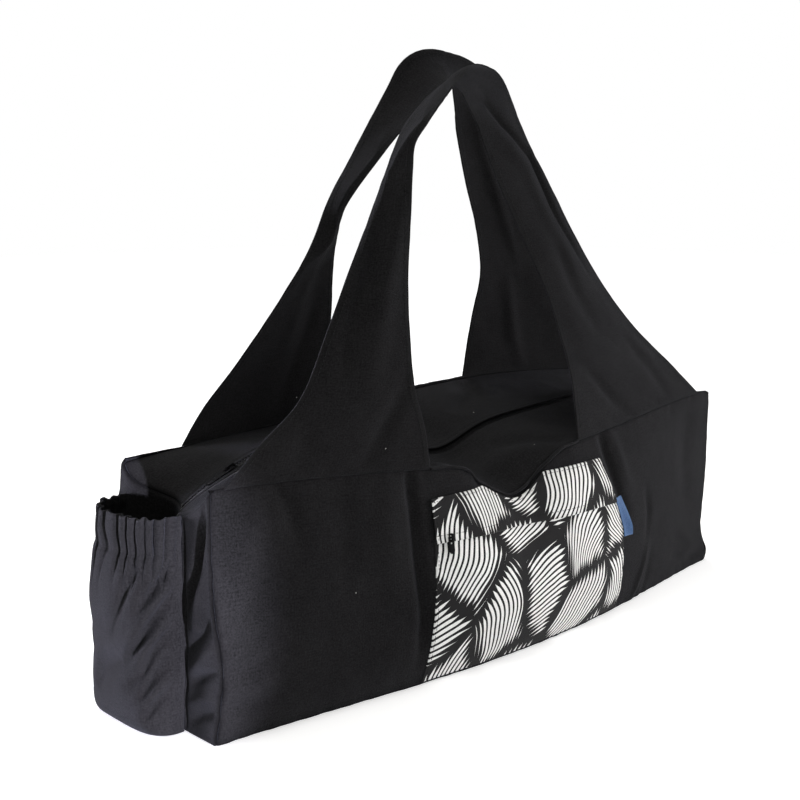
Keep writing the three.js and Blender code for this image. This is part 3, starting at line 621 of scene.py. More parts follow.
def seam_turn(distance):
    return SEAM_TURN * np.maximum(0, 1 - distance / SEAM_WIDTH) ** 2


def puckers(along, distance, seed):
    ripple = cloth_noise(along, distance * 0.2, PUCKER_LENGTH, seed)
    return PUCKER * ripple * np.exp(-distance / PUCKER_REACH)


def soft_hang(across, along, from_edge, seed):
    """Broad unevenness of a soft panel, dying out towards its seams."""
    uneven = 0
    for layer, (height, size) in enumerate(HANG_LAYERS):
        uneven = uneven + height * cloth_noise(across, along, size, seed + layer)
    return uneven * ramp(from_edge, 0, HANG_REACH)


# Front wall as it shows, used by the front and by all that is sewn on it
def end_crease(x, z):
    line = END_CREASE_X + END_CREASE_WANDER * cloth_noise(z, 0 * z, 46, 13)
    left = np.maximum(0, x - near_front_x(z)) / (line - near_front_x(z))
    right = np.exp(-np.maximum(0, x - line) / END_CREASE_REACH)
    lower = -END_CREASE_SOFT * np.log(np.exp(-left / END_CREASE_SOFT) + np.exp(-right / END_CREASE_SOFT))
    return END_CREASE * lower * ramp(front_top_z(x) - z, 0, 30) * ramp(z, -4, 40)


def front_swell(x, z):
    top = front_top_z(x) - z
    edge = np.minimum(np.minimum(x + HALF, HALF - x), np.minimum(z, top))
    points = spaced(x, front_y(x, z), z)

    def place(fold_x, fold_z):
        return (fold_x, float(front_y(fold_x, fold_z)), fold_z)

    folds = fold_height(points, FRONT_FOLDS, place) * ramp(top, -6, 8)
    return end_crease(x, z) + folds + soft_hang(x, z, np.maximum(0, edge), 11)


def front_shown_y(x, z):
    return front_y(x, z) - front_swell(x, z)


def front_face(u, v):
    x = lerp(near_front_x(v * HEIGHT) + SEAM_LAP, far_front_x(v * HEIGHT) - SEAM_LAP, u)
    top = front_top_z(x)
    z = lerp(FOOT_LIFT, top - FAR_CORNER_DROP * bell(x, HALF, FAR_CORNER_ROUND), v)
    left = x - near_front_x(z) - SEAM_LAP
    right = far_front_x(z) - SEAM_LAP - x
    turn = seam_turn(left) + seam_turn(right) + seam_turn(top - z)
    small = puckers(z, left, 21) + puckers(z, right, 22) + puckers(x, top - z, 23) + puckers(x, z, 24)
    return spaced(x, front_shown_y(x, z) + turn - small, z)


def back_face(u, v):
    level = v * HEIGHT
    x = lerp(near_back_x(level) + SEAM_LAP, far_back_x(level) - SEAM_LAP, u)
    top = back_top_z(x)
    z = lerp(FOOT_LIFT, top, v)
    left = x - near_back_x(z) - SEAM_LAP
    right = far_back_x(z) - SEAM_LAP - x
    base = back_y(x, z)

    def place(fold_x, fold_z):
        return (fold_x, float(back_y(fold_x, fold_z)), fold_z)

    edge = np.maximum(0, np.minimum(np.minimum(left, right), np.minimum(z, top - z)))
    swell = fold_height(spaced(x, base, z), BACK_FOLDS, place) + soft_hang(x, z, edge, 31)
    turn = seam_turn(left) + seam_turn(right) + seam_turn(top - z)
    small = puckers(z, left, 32) + puckers(z, right, 33) + puckers(x, top - z, 34) + puckers(x, z, 35)
    return spaced(x, base + swell - turn + small, z)


def end_face(corner_x, wall_x, top_z, outward, folds, seed):
    def face(u, v):
        z = lerp(FOOT_LIFT, top_z(u), v)
        front = front_y(corner_x, z) + SEAM_INSET
        back = back_y(corner_x, z) - SEAM_INSET
        y = lerp(front, back, u)
        base = wall_x(y, z)
        top = top_z(u) - z

        def place(fold_y, fold_z):
            return (float(wall_x(fold_y, fold_z)), fold_y, fold_z)

        edge = np.maximum(0, np.minimum(np.minimum(y - front, back - y), np.minimum(z, top)))
        swell = fold_height(spaced(base, y, z), folds, place) * ramp(edge, -2, 9)
        swell = swell + soft_hang(y, z, edge, seed)
        turn = seam_turn(y - front) + seam_turn(back - y) + seam_turn(top) + seam_turn(z)
        small = puckers(z, y - front, seed + 3) + puckers(z, back - y, seed + 4)
        return spaced(base + outward * (swell - turn + small), y, z)

    return face


def base_face(u, v):
    x = lerp(-HALF + CLOTH + CORNER_GAP, far_front_x(2) - CLOTH - CORNER_GAP, u)
    front = front_shown_y(x, 0 * x) + CLOTH + CORNER_GAP
    y = lerp(front, back_y(x, 0) - CLOTH - CORNER_GAP, v)
    edge = np.minimum(np.minimum(y - front, back_y(x, 0) - y), np.minimum(x + HALF, HALF - x))
    hang = BASE_UNEVEN * (1 + cloth_noise(x, y, 60, 51))
    return spaced(x, y, hang * ramp(edge, 4, 40))


def top_face(front_half):
    def face(u, v):
        guess = lerp(-HALF, HALF, u)
        depth = top_depth(guess)
        closed = ramp(guess, ZIP_OPEN_X, ZIP_CLOSED_X)
        if front_half:
            start = (CLOTH + TOP_SEAM_GAP) / depth
            lip = 0.5 + lerp(-ZIP_OPEN_HALF, ZIP_LAP, closed) / depth
            share = lerp(start, lip, v)
            from_lip = (lip - share) * depth
            from_seam = (share - start) * depth
            rise = lerp(0, ZIP_LIP_RISE, closed)
        else:
            end = 1 - (CLOTH + TOP_SEAM_GAP) / depth
            lip = 0.5 + lerp(ZIP_OPEN_HALF, -ZIP_LAP, closed) / depth
            share = lerp(lip, end, v)
            from_lip = (share - lip) * depth
            from_seam = (end - share) * depth
            rise = lerp(ZIP_LIP_OPEN_RISE, ZIP_LAP_RISE, closed)
        x, y, z = top_point(lerp(top_near_x(share), top_far_x(share), u), share)

        def place(fold_x, fold_share):
            return tuple(float(value) for value in top_point(fold_x, fold_share))

        end_distance = np.minimum(x - top_near_x(share), top_far_x(share) - x)
        edge = np.maximum(0, np.minimum(end_distance, np.minimum(from_lip, from_seam)))
        swell = fold_height(spaced(x, y, z), TOP_FOLDS, place) * ramp(edge, -2, 16)
        swell = swell + soft_hang(x, y, edge, 61) + puckers(x, from_lip, 63) * ramp(from_lip, 0, 8)
        lip_rise = rise * bell(from_lip, 0, ZIP_LIP_WIDTH)
        groove = ZIP_GROOVE * bell(from_lip, ZIP_GROOVE_PLACE, ZIP_GROOVE_WIDTH)
        return spaced(x, y, z + swell + lip_rise - groove - seam_turn(from_seam) - seam_turn(end_distance))

    return face


def zip_depth(x, depth):
    """How deep the tape or the coil lies: shallower where the lips part near the slider."""
    return depth - ZIP_SHOW * (1 - ramp(x, ZIP_OPEN_X, ZIP_CLOSED_X))


def zip_tape_face(u, v):
    share = 0.5 + lerp(-ZIP_TAPE_WIDTH / 2, ZIP_TAPE_WIDTH / 2, v) / top_depth(lerp(-HALF, HALF, u))
    x, y, z = top_point(lerp(top_near_x(share), top_far_x(share), u), share)
    return spaced(x, y, z - zip_depth(x, ZIP_TAPE_DROP))


# End pocket: each level is a boxy arc out from the near wall, and the mouth is gathered on elastic
def level_value(name, level):
    """A column of the pocket's levels, eased between its rows."""
    rows = np.array(POCKET_LEVELS[name], dtype=float)
    index = np.clip(np.floor(level).astype(int), 0, len(rows) - 2)
    part = level - index
    before = rows[np.maximum(index - 1, 0)]
    start = rows[index]
    end = rows[index + 1]
    after = rows[np.minimum(index + 2, len(rows) - 1)]
    slope_start = (end - before) / 2
    slope_end = (after - start) / 2
    curve = (2 * start - 2 * end + slope_start + slope_end) * part**3
    curve = curve + (3 * end - 3 * start - 2 * slope_start - slope_end) * part**2
    return curve + slope_start * part + start


def pocket_base(u, v):
    level = v * (len(POCKET_LEVELS["z"]) - 1)
    z = level_value("z", level)
    half_front = level_value("front", level)
    half_back = level_value("back", level)
    reach = level_value("reach", level)
    corner = level_value("corner", level)
    turn = np.pi * u

    def rounded(value):
        return np.sign(value) * np.abs(value) ** corner

    percent = u * 100
    warped = u + PLEAT_WANDER * cloth_noise(percent, 0 * u, 15, 71)
    warped = warped + PLEAT_LEAN * cloth_noise(percent, z, 24, 76)
    gather = np.abs(np.sin(np.pi * POCKET_PLEATS * warped))
    depth = PLEAT_DEPTH + PLEAT_DEPTH_VARIES * cloth_noise(percent, z * 0.3, 7, 72)
    wave = level_value("ripple", level) * (1 - 2 * depth * (1 - gather) ** PLEAT_SHARPNESS)
    wave = wave * np.sin(np.pi * np.clip(u, 0, 1)) ** PLEAT_FADE
    wave = wave - CASING_GROOVE * (bell(z, POCKET_CASING_Z, 2.6) + bell(z, POCKET_RIM_Z - 5, 1.6))
    half = np.where(np.cos(turn) > 0, half_front, half_back)
    y = POCKET_MIDDLE_Y - (half + wave * np.abs(np.cos(turn))) * rounded(np.cos(turn))
    out = (reach + wave * np.abs(np.sin(turn))) * rounded(np.sin(turn))
    front = near_x(POCKET_MIDDLE_Y - half_front, z)
    back = near_x(POCKET_MIDDLE_Y + half_back, z)
    frill = RIM_FRILL * cloth_noise(percent, 0 * u, 5, 73) * ramp(z, POCKET_RIM_Z - 8, POCKET_RIM_Z)
    tuck = POCKET_TUCK * ramp(u, 0.975, 1)
    return spaced(lerp(front, back, u) - POCKET_GAP - out + tuck, y, z + frill)


def pocket_face(u, v):
    points = pocket_base(u, v)
    outward = -unit_normals(points)
    across = u * POCKET_ROUND

    def place(fold_u, fold_z):
        return (fold_u * POCKET_ROUND, fold_z)

    edge = np.maximum(0, np.minimum(across, POCKET_ROUND - across))
    z = points[..., 2]
    flat = np.stack([across, z], axis=-1)
    swell = fold_height(flat, POCKET_FOLDS, place) * ramp(edge, 0, 12) * ramp(v, 0.2, 0.34)
    uneven = POCKET_UNEVEN * cloth_noise(across, z, 26, 74)
    swell = swell + uneven * ramp(edge, 0, 20) * ramp(v, 0.25, 0.4)
    swell = swell + puckers(z, edge, 75) * ramp(v, 0.2, 0.4)
    return points + outward * swell[..., None]


# Printed patch pocket
def patch_zip_z(x):
    return PATCH_ZIP_Z + PATCH_ZIP_SLOPE * x


def patch_top_z(x):
    return np.minimum(PATCH_TOP_Z, front_top_z(x) - PATCH_TOP_DROP)


def patch_face(low_z, high_z, proud):
    def face(u, v):
        guess = lerp(PATCH_EDGES["left"][0], PATCH_EDGES["right"][0], u)
        level = lerp(low_z(guess), high_z(guess), v)
        left = np.interp(level, PATCH_EDGES["z"], PATCH_EDGES["left"])
        right = np.interp(level, PATCH_EDGES["z"], PATCH_EDGES["right"])
        x = lerp(left, right, u)
        z = lerp(low_z(x), high_z(x), v)
        base = front_shown_y(x, z)

        def place(fold_x, fold_z):
            return (fold_x, float(front_y(fold_x, fold_z)), fold_z)

        edge = np.minimum(x - left, right - x)
        rise = np.minimum(edge, np.minimum(z - low_z(x), high_z(x) - z))
        swell = np.maximum(0, fold_height(spaced(x, base, z), PATCH_FOLDS, place)) * ramp(rise, 0, 14)
        swell = swell + PATCH_UNEVEN * (1 + cloth_noise(x, z, 24, 81)) * ramp(rise, 0, 12)
        swell = swell + np.abs(puckers(z, np.maximum(0, edge), 82))
        return spaced(x, base - PATCH_CLEAR - proud - swell, z)

    return face


def tab_face(u, v):
    z = lerp(TAB_BOTTOM_Z, TAB_TOP_Z, v)
    x = np.interp(z, PATCH_EDGES["z"], PATCH_EDGES["right"]) + TAB_SEAM_GAP + u * TAB_WIDTH
    curl = TAB_CURL * u**2 + TAB_BOW * np.sin(np.pi * v) * u
    return spaced(x, front_shown_y(x, z) - PATCH_CLEAR - TAB_CLOTH - curl, z)


# Ribbon handles
def smooth_path(points, share):
    """The curve through the points that the solids use, at shares of its way."""
    points = np.array(points, dtype=float)
    padded = np.vstack([2 * points[0] - points[1], points, 2 * points[-1] - points[-2]])
    place = np.clip(share, 0, 1) * (len(points) - 1)
    index = np.minimum(place.astype(int), len(points) - 2)
    part = (place - index)[..., None]
    p0, p1, p2, p3 = (padded[index + step] for step in range(4))

    def span(first, second):
        return np.maximum(np.sqrt(np.linalg.norm(second - first, axis=-1, keepdims=True)), 1e-4)

    d0, d1, d2 = span(p0, p1), span(p1, p2), span(p2, p3)
    slope1 = ((p1 - p0) / d0 - (p2 - p0) / (d0 + d1) + (p2 - p1) / d1) * d1
    slope2 = ((p2 - p1) / d1 - (p3 - p1) / (d1 + d2) + (p3 - p2) / d2) * d1
    square = -3 * p1 + 3 * p2 - 2 * slope1 - slope2
    cube = 2 * p1 - 2 * p2 + slope1 + slope2
    return p1 + slope1 * part + square * part**2 + cube * part**3


def front_seam(x):
    z = front_top_z(x)
    return spaced(x, front_y(x, z) + HANDLE_SEAM_INSET, z - HANDLE_SEAM_TUCK)


def back_seam(x):
    z = back_top_z(x)
    return spaced(x, back_y(x, z) - HANDLE_SEAM_INSET, z - HANDLE_SEAM_TUCK)


def handle_base(legs, sections, seam):
    spans = len(sections) + 1
    table = {name: [row[place] for row in sections] for place, name in enumerate(SECTION_COLUMNS)}
    outer = [seam(legs["left_outer"]), *table["outer"], seam(legs["right_outer"])]
    inner = [seam(legs["left_inner"]), *table["inner"], seam(legs["right_inner"])]
    stations = np.arange(spans + 1)

    def column(name, end_value, span):
        return np.interp(span, stations, [end_value, *table[name], end_value])

    def face(u, v):
        span = v * spans
        outside = smooth_path(outer, v)
        inside = smooth_path(inner, v)
        step = 1e-3
        along = smooth_path(outer, v + step) - smooth_path(outer, v - step)
        along = along + smooth_path(inner, v + step) - smooth_path(inner, v - step)
        normal = np.cross(inside - outside, along)
        normal = normal / np.linalg.norm(normal, axis=-1, keepdims=True)
        fold = column("fold", 0.5, span)
        crease = np.where(u < fold, u / fold, (1 - u) / (1 - fold))
        bow = 4 * column("belly", 0, span) * u * (1 - u) + column("ridge", 0, span) * crease
        points = outside + (inside - outside) * u[..., None] + normal * bow[..., None]
        for share, side, near in ((0, "left", span), (1, "right", spans - span)):
            on_seam = seam(lerp(legs[side + "_outer"], legs[side + "_inner"], u))
            ends = smooth_path(outer, np.array(float(share))), smooth_path(inner, np.array(float(share)))
            straight = ends[0] + (ends[1] - ends[0]) * u[..., None]
            points = points + (on_seam - straight) * (np.maximum(0, 1 - near) ** 2)[..., None]
        return points

    return face


def handle_face(base, sections, folds, inward, seed):
    spans = len(sections) + 1

    def face(u, v):
        points = base(u, v)
        normals = unit_normals(points)

        def place(fold_u, section):
            return tuple(base(np.array(float(fold_u)), np.array((section + 1) / spans)))

        width = np.linalg.norm(base(0 * u + 1, v) - base(0 * u, v), axis=-1)
        edge = np.minimum(u, 1 - u) * width
        from_seam = np.minimum(v, 1 - v) * spans * HANDLE_SEAM_STEP
        across = u * width
        along = v * spans * HANDLE_CLOTH_STEP
        swell = fold_height(points, folds, place) * ramp(edge, -2, 8) * ramp(from_seam, -4, 16)
        swell = swell + soft_hang(across, along, np.minimum(edge, from_seam), seed)
        swell = swell + HANDLE_PUCKER * puckers(along, edge, seed + 4) * ramp(from_seam, 4, 20)
        swell = swell + puckers(across, from_seam, seed + 5) * ramp(from_seam, 0, 4) * ramp(edge, 0, 8)
        points = points + normals * swell[..., None]
        points[..., 1] += inward * seam_turn(from_seam)
        return points

    return face


# Meshes
def front_corner():
    """Where the bag's own frame lies in the part's frame: the solids' front left corner tells."""
    low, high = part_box("front_panel")
    return np.array([low[0] / MM + HALF, high[1] / MM - FRONT_Y - CLOTH - bottom_roll(FOOT_LIFT), 0])


SHIFT = front_corner()


def to_metres(points):
    return (np.asarray(points, dtype=float) + SHIFT) * MM


def mesh_object(name, points, faces, material, cloth_place=None, wear_and_seam_shade=None):
    mesh = bpy.data.meshes.new(name)
    mesh.from_pydata(to_metres(points).tolist(), [], faces)
    mesh.polygons.foreach_set("use_smooth", [True] * len(mesh.polygons))
    if cloth_place is not None:
        layer = mesh.uv_layers.new(name="cloth")
        corners = np.empty(len(mesh.loops), dtype=int)
        mesh.loops.foreach_get("vertex_index", corners)
        layer.data.foreach_set("uv", (cloth_place[corners] * MM).ravel())
    if wear_and_seam_shade is not None:
        mesh.attributes.new("wear_and_seam_shade", "FLOAT", "POINT").data.foreach_set("value", wear_and_seam_shade)
    mesh.materials.append(material)
    mesh.validate()
    mesh.update()
    piece = bpy.data.objects.new(name, mesh)
    bpy.context.scene.collection.objects.link(piece)
    return piece


def cloth_coordinates(grid):
    """Places on the flat cloth: arc lengths across each row from its middle, and along the rows."""
    steps = np.linalg.norm(np.diff(grid, axis=1), axis=-1)
    across = np.concatenate([np.zeros((grid.shape[0], 1)), np.cumsum(steps, axis=1)], axis=1)
    across = across - across[:, -1:] / 2
    rises = np.linalg.norm(np.diff(grid, axis=0), axis=-1).mean(axis=1)
    along = np.concatenate([[0], np.cumsum(rises)])
    return np.stack([across, np.broadcast_to(along[:, None], across.shape)], axis=-1)


def edge_distance(grid):
    """Distance of each point of a grid from the grid's nearest edge, along its rows and columns."""
    across = np.linalg.norm(np.diff(grid, axis=1), axis=-1)
    along = np.linalg.norm(np.diff(grid, axis=0), axis=-1)
    left = np.pad(np.cumsum(across, axis=1), ((0, 0), (1, 0)))
    low = np.pad(np.cumsum(along, axis=0), ((1, 0), (0, 0)))
    right = left[:, -1:] - left
    high = low[-1:] - low
    return np.minimum(np.minimum(left, right), np.minimum(low, high))


def shares(count):
    """Even shares of a side, with two more close to each end so that the edge stays crisp."""
    close = np.array([0, 0.12, 0.4])
    return np.concatenate([close, np.arange(1, count), count - close[::-1]]) / count


# Grids of the sheets that are made, by name
SHEETS = {}


def cloth_piece(name, face, columns, rows, thickness, facing, material, middle=False):
    """A closed cloth sheet with rounded edges, made from a face over shares across and along it."""
    u, v = np.meshgrid(shares(columns), shares(rows))
    rows, columns = u.shape[0] - 1, u.shape[1] - 1
    shown = face(u, v)
    outward = unit_normals(shown) * facing
    thickness = thickness(shown) if callable(thickness) else np.full(u.shape, float(thickness))
    outer = shown + outward * (thickness / 2)[..., None] if middle else shown
    inner = outer - outward * thickness[..., None]
    ring = (
        [(0, column) for column in range(columns)]
        + [(row, columns) for row in range(rows)]
        + [(rows, column) for column in range(columns, 0, -1)]
        + [(row, 0) for row in range(rows, 0, -1)]
    )
    rim = []
    for row, column in ring:
        inside = outer[min(max(row, 1), rows - 1), min(max(column, 1), columns - 1)]
        away = unit(outer[row, column] - inside)
        middle_point = (outer[row, column] + inner[row, column]) / 2
        rim.append(middle_point + away * thickness[row, column] / 2)
    layer = (columns + 1) * (rows + 1)

    def at(side, row, column):
        return side * layer + row * (columns + 1) + column

    faces = []
    for row in range(rows):
        for column in range(columns):
            corners = [(row, column), (row, column + 1), (row + 1, column + 1), (row + 1, column)]
            faces.append([at(0, *corner) for corner in corners])
            faces.append([at(1, *corner) for corner in reversed(corners)])
    for index, (first, second) in enumerate(zip(ring, ring[1:] + ring[:1])):
        one = 2 * layer + index
        two = 2 * layer + (index + 1) % len(ring)
        faces.append([at(0, *second), at(0, *first), one, two])
        faces.append([two, one, at(1, *first), at(1, *second)])
    if facing < 0:
        faces = [corners[::-1] for corners in faces]
    flat = cloth_coordinates(outer)
    ring_flat = np.array([flat[place] for place in ring])
    cloth_place = np.vstack([flat.reshape(-1, 2), flat.reshape(-1, 2) + INNER_WEAVE_SHIFT, ring_flat])
    # Painted shade: the edges of sewn pieces get values below zero, which the material darkens towards
    # black. Free edges get values above zero for pale wear.
    reach, edge_shade_and_wear = (SEWN_SHADE_REACH, -1) if name in SEWN_PIECES else (FREE_WEAR_REACH, FREE_WEAR)
    near_edge = edge_shade_and_wear * np.exp(-edge_distance(outer) / reach).ravel()
    wear_and_seam_shade = np.concatenate([near_edge, near_edge * INNER_WEAR_AND_SHADE, np.full(len(ring), edge_shade_and_wear)])
    points = np.vstack([outer.reshape(-1, 3), inner.reshape(-1, 3), rim])
    SHEETS[name] = {"outer": outer, "inner": inner, "outward": outward}
    return mesh_object(name, points, faces, material, cloth_place, wear_and_seam_shade)


def edge_line(name, side, inset, layer="outer", start=0.0, end=1.0):
    """Points and normals of a line on a sheet, an inset from one of its sides."""
    grid = SHEETS[name][layer]
    outward = SHEETS[name]["outward"] * (1 if layer == "outer" else -1)
    if side in ("low", "high"):
        grid = grid.swapaxes(0, 1)
        outward = outward.swapaxes(0, 1)
    points = []
    normals = []
    first = int(start * (len(grid) - 1))
    last = int(end * (len(grid) - 1))
    for row, normal in zip(grid[first : last + 1], outward[first : last + 1]):
        if side in ("right", "high"):
            row = row[::-1]
            normal = normal[::-1]
        lengths = lengths_along(row)
        place = np.interp(inset, lengths, np.arange(len(lengths)))
        low = int(min(place, len(lengths) - 2))
        points.append(lerp(row[low], row[low + 1], place - low))
        normals.append(normal[low])
    return np.array(points), np.array(normals)


def stitch_piece(name, lines, material, length=STITCH, spacing=STITCH_SPACING, radius=STITCH_RADIUS):
    """Rows of thread stitches, each a short bead that dips into the cloth at both ends."""
    sides = STITCH_SIDES
    last_ring = (len(STITCH_RINGS) - 1) * sides

    def at(values, lengths, place):
        return np.array([np.interp(place, lengths, values[:, axis]) for axis in range(3)])

    points = []
    faces = []
    for path, normals in lines:
        lengths = lengths_along(path)
        for middle in np.arange(spacing / 2, lengths[-1], spacing):
            centre = at(path, lengths, middle)
            way = unit(at(path, lengths, middle + 1) - at(path, lengths, middle - 1))
            up = at(normals, lengths, middle)
            up = unit(up - way * (up @ way))
            across = np.cross(way, up)
            first = len(points)
            for along, size, lift in STITCH_RINGS:
                for side in range(sides):
                    turn = 2 * math.pi * side / sides
                    offset = across * math.cos(turn) + up * (math.sin(turn) * STITCH_FLATNESS + lift)
                    points.append(centre + way * along * length + offset * radius * size)
            for ring in range(first, first + last_ring, sides):
                for side in range(sides):
                    one = ring + side
                    two = ring + (side + 1) % sides
                    faces.append([one, two, two + sides, one + sides])
            faces.append([first + side for side in reversed(range(sides))])
            faces.append([first + last_ring + side for side in range(sides)])
    return mesh_object(name, np.array(points), faces, material)


def hem_piece(name, path, radius, material):
    """A soft rolled edge along a path, its thickness uneven like a folded hem."""
    sides = HEM_SIDES
    tangents = np.gradient(path, axis=0)
    tangents = tangents / np.linalg.norm(tangents, axis=1, keepdims=True)
    points = []
    places = []
    lengths = lengths_along(path)
    for index, (centre, way) in enumerate(zip(path, tangents)):
        across = unit(np.cross(way, (0, 0, 1)))
        up = np.cross(across, way)
        for side in range(sides):
            turn = 2 * math.pi * side / sides
            points.append(centre + radius[index] * (across * math.cos(turn) + up * math.sin(turn)))
            places.append((lengths[index], 9 * side / sides))
    faces = []
    for index in range(len(path) - 1):
        for side in range(sides):
            one = index * sides + side
            two = index * sides + (side + 1) % sides
            faces.append([one, one + sides, two + sides, two])
    faces.append(list(range(sides)))
    faces.append([(len(path) - 1) * sides + side for side in reversed(range(sides))])
    wear_and_seam_shade = np.full(len(points), HEM_WEAR)
    return mesh_object(name, np.array(points), faces, material, np.array(places), wear_and_seam_shade)


# Materials
def node_of(tree, kind, values=(), **settings):
    node = tree.nodes.new(kind)
    for name, value in settings.items():
        setattr(node, name, value)
    for socket, value in dict(values).items():
        if isinstance(value, bpy.types.NodeSocket):
            tree.links.new(value, node.inputs[socket])
        else:
            node.inputs[socket].default_value = value
    return node


def math_of(tree, operation, first, second=0.0, third=0.0):
    values = {0: first, 1: second, 2: third}
    return node_of(tree, "ShaderNodeMath", values, operation=operation).outputs[0]


def mix_of(tree, share, first, second):
    values = {"Factor": share, "A": first, "B": second}
    node = tree.nodes.new("ShaderNodeMix")
    node.data_type = "RGBA"
    for socket in node.inputs:
        if not socket.enabled or socket.name not in values:
            continue
        value = values[socket.name]
        if isinstance(value, bpy.types.NodeSocket):
            tree.links.new(value, socket)
        else:
            socket.default_value = value
    return next(socket for socket in node.outputs if socket.enabled)


def new_group(name, inputs, outputs):
    group = bpy.data.node_groups.new(name, "ShaderNodeTree")
    for label, kind, value in inputs:
        socket = group.interface.new_socket(label, in_out="INPUT", socket_type=kind)
        if value is not None:
            socket.default_value = value
    for label, kind in outputs:
        group.interface.new_socket(label, in_out="OUTPUT", socket_type=kind)
    return group, group.nodes.new("NodeGroupInput").outputs, group.nodes.new("NodeGroupOutput").inputs


def woven_cloth_group():
    """Plain weave with slubs, the mottling of worn dye, lint, pale worn edges, and painted shade that
    darkens the sewn edges.
    """
    group, given, made = new_group(
        "woven cloth",
        [
            ("Vector", "NodeSocketVector", None),
            ("Thread", "NodeSocketFloat", 0.0008),
            ("Slub", "NodeSocketFloat", 0.5),
            ("Lint", "NodeSocketFloat", 0.5),
        ],
        [
            ("Height", "NodeSocketFloat"),
            ("Mottle", "NodeSocketFloat"),
            ("Lint", "NodeSocketFloat"),
            ("Wear", "NodeSocketFloat"),
            ("Seam Shade", "NodeSocketFloat"),
        ],
    )
    split = node_of(group, "ShaderNodeSeparateXYZ", {0: given["Vector"]}).outputs
    turns = math_of(group, "DIVIDE", 2 * math.pi, given["Thread"])
    warp = math_of(group, "SINE", math_of(group, "MULTIPLY", split["X"], turns))
    weft = math_of(group, "SINE", math_of(group, "MULTIPLY", split["Y"], turns))
    weave = math_of(group, "MULTIPLY", warp, weft)

    def stretched_noise(stretch, scale, detail):
        values = {0: given["Vector"], 1: stretch}
        scaled = node_of(group, "ShaderNodeVectorMath", values, operation="MULTIPLY")
        values = {"Vector": scaled.outputs[0], "Scale": scale, "Detail": detail, "Roughness": 0.6}
        return node_of(group, "ShaderNodeTexNoise", values).outputs["Fac"]

    across = stretched_noise((1, 12, 1), scale=90.0, detail=2.0)
    along = stretched_noise((12, 1, 1), scale=90.0, detail=2.0)
    grain = stretched_noise((1, 1, 1), scale=620.0, detail=2.0)
    slub = math_of(group, "ADD", across, along)
    slub = math_of(group, "MULTIPLY", slub, given["Slub"])
    height = math_of(group, "MULTIPLY_ADD", weave, 0.4, slub)
    group.links.new(math_of(group, "MULTIPLY_ADD", grain, 0.9, height), made["Height"])
    broad = stretched_noise((1, 1, 1), scale=14.0, detail=5.0)
    mottle = 0.5
    for noise, share in ((grain, 1.9), (across, 0.8), (along, 0.8), (broad, 0.9)):
        mottle = math_of(group, "MULTIPLY_ADD", math_of(group, "SUBTRACT", noise, 0.5), share, mottle)
    group.links.new(node_of(group, "ShaderNodeClamp", {"Value": mottle}).outputs[0], made["Mottle"])
    cells = node_of(group, "ShaderNodeTexVoronoi", {"Vector": given["Vector"], "Scale": 45.0})
    speck = math_of(group, "LESS_THAN", cells.outputs["Distance"], 0.028)
    chosen = node_of(group, "ShaderNodeSeparateXYZ", {0: cells.outputs["Color"]}).outputs["X"]
    chosen = math_of(group, "GREATER_THAN", chosen, 0.86)
    lint = math_of(group, "MULTIPLY", math_of(group, "MULTIPLY", speck, chosen), given["Lint"])
    group.links.new(lint, made["Lint"])
    edge = node_of(group, "ShaderNodeAttribute", attribute_name="wear_and_seam_shade").outputs["Fac"]
    rubbed = math_of(group, "MULTIPLY", edge, math_of(group, "MULTIPLY_ADD", broad, 1.2, -0.1))
    group.links.new(rubbed, made["Wear"])
    # Painted shade: where the attribute is below zero, at sewn edges, the colour is darkened towards black
    crease = math_of(group, "MULTIPLY", edge, -0.95)
    group.links.new(node_of(group, "ShaderNodeClamp", {"Value": crease}).outputs[0], made["Seam Shade"])
    return group


WOVEN = woven_cloth_group()


def cloth_place_of(tree):
    return node_of(tree, "ShaderNodeUVMap", uv_map="cloth").outputs["UV"]


def woven_of(tree, place, thread, slub, lint):
    node = tree.nodes.new("ShaderNodeGroup")
    node.node_tree = WOVEN
    tree.links.new(place, node.inputs["Vector"])
    node.inputs["Thread"].default_value = thread
    node.inputs["Slub"].default_value = slub
    node.inputs["Lint"].default_value = lint
    return node.outputs


def new_finish(name, roughness, sheen=0.0, sheen_roughness=0.5, sheen_tint=(1, 1, 1, 1), specular=0.04):
    material = bpy.data.materials.new(name)
    material.use_nodes = True
    tree = material.node_tree
    tree.nodes.clear()
    shader = tree.nodes.new("ShaderNodeBsdfPrincipled")
    output = tree.nodes.new("ShaderNodeOutputMaterial")
    tree.links.new(shader.outputs["BSDF"], output.inputs["Surface"])
    shader.inputs["Roughness"].default_value = roughness
    shader.inputs["Sheen Weight"].default_value = sheen
    shader.inputs["Sheen Roughness"].default_value = sheen_roughness
    shader.inputs["Sheen Tint"].default_value = sheen_tint
    shader.inputs["Specular IOR Level"].default_value = specular
    return material, tree, shader


def lay_on(tree, shader, colour, height, strength, depth):
    """The colour of a finish, and its relief."""
    tree.links.new(colour, shader.inputs["Base Color"])
    values = {"Height": height, "Strength": strength, "Distance": depth}
    tree.links.new(node_of(tree, "ShaderNodeBump", values).outputs["Normal"], shader.inputs["Normal"])


# Colours of the finishes
COTTON_DARK = (0.0042, 0.0041, 0.0043, 1)
COTTON_PALE = (0.015, 0.0148, 0.0153, 1)
COTTON_RUBBED = (0.016, 0.0158, 0.0164, 1)
COTTON_SHEEN = (0.75, 0.8, 1, 1)
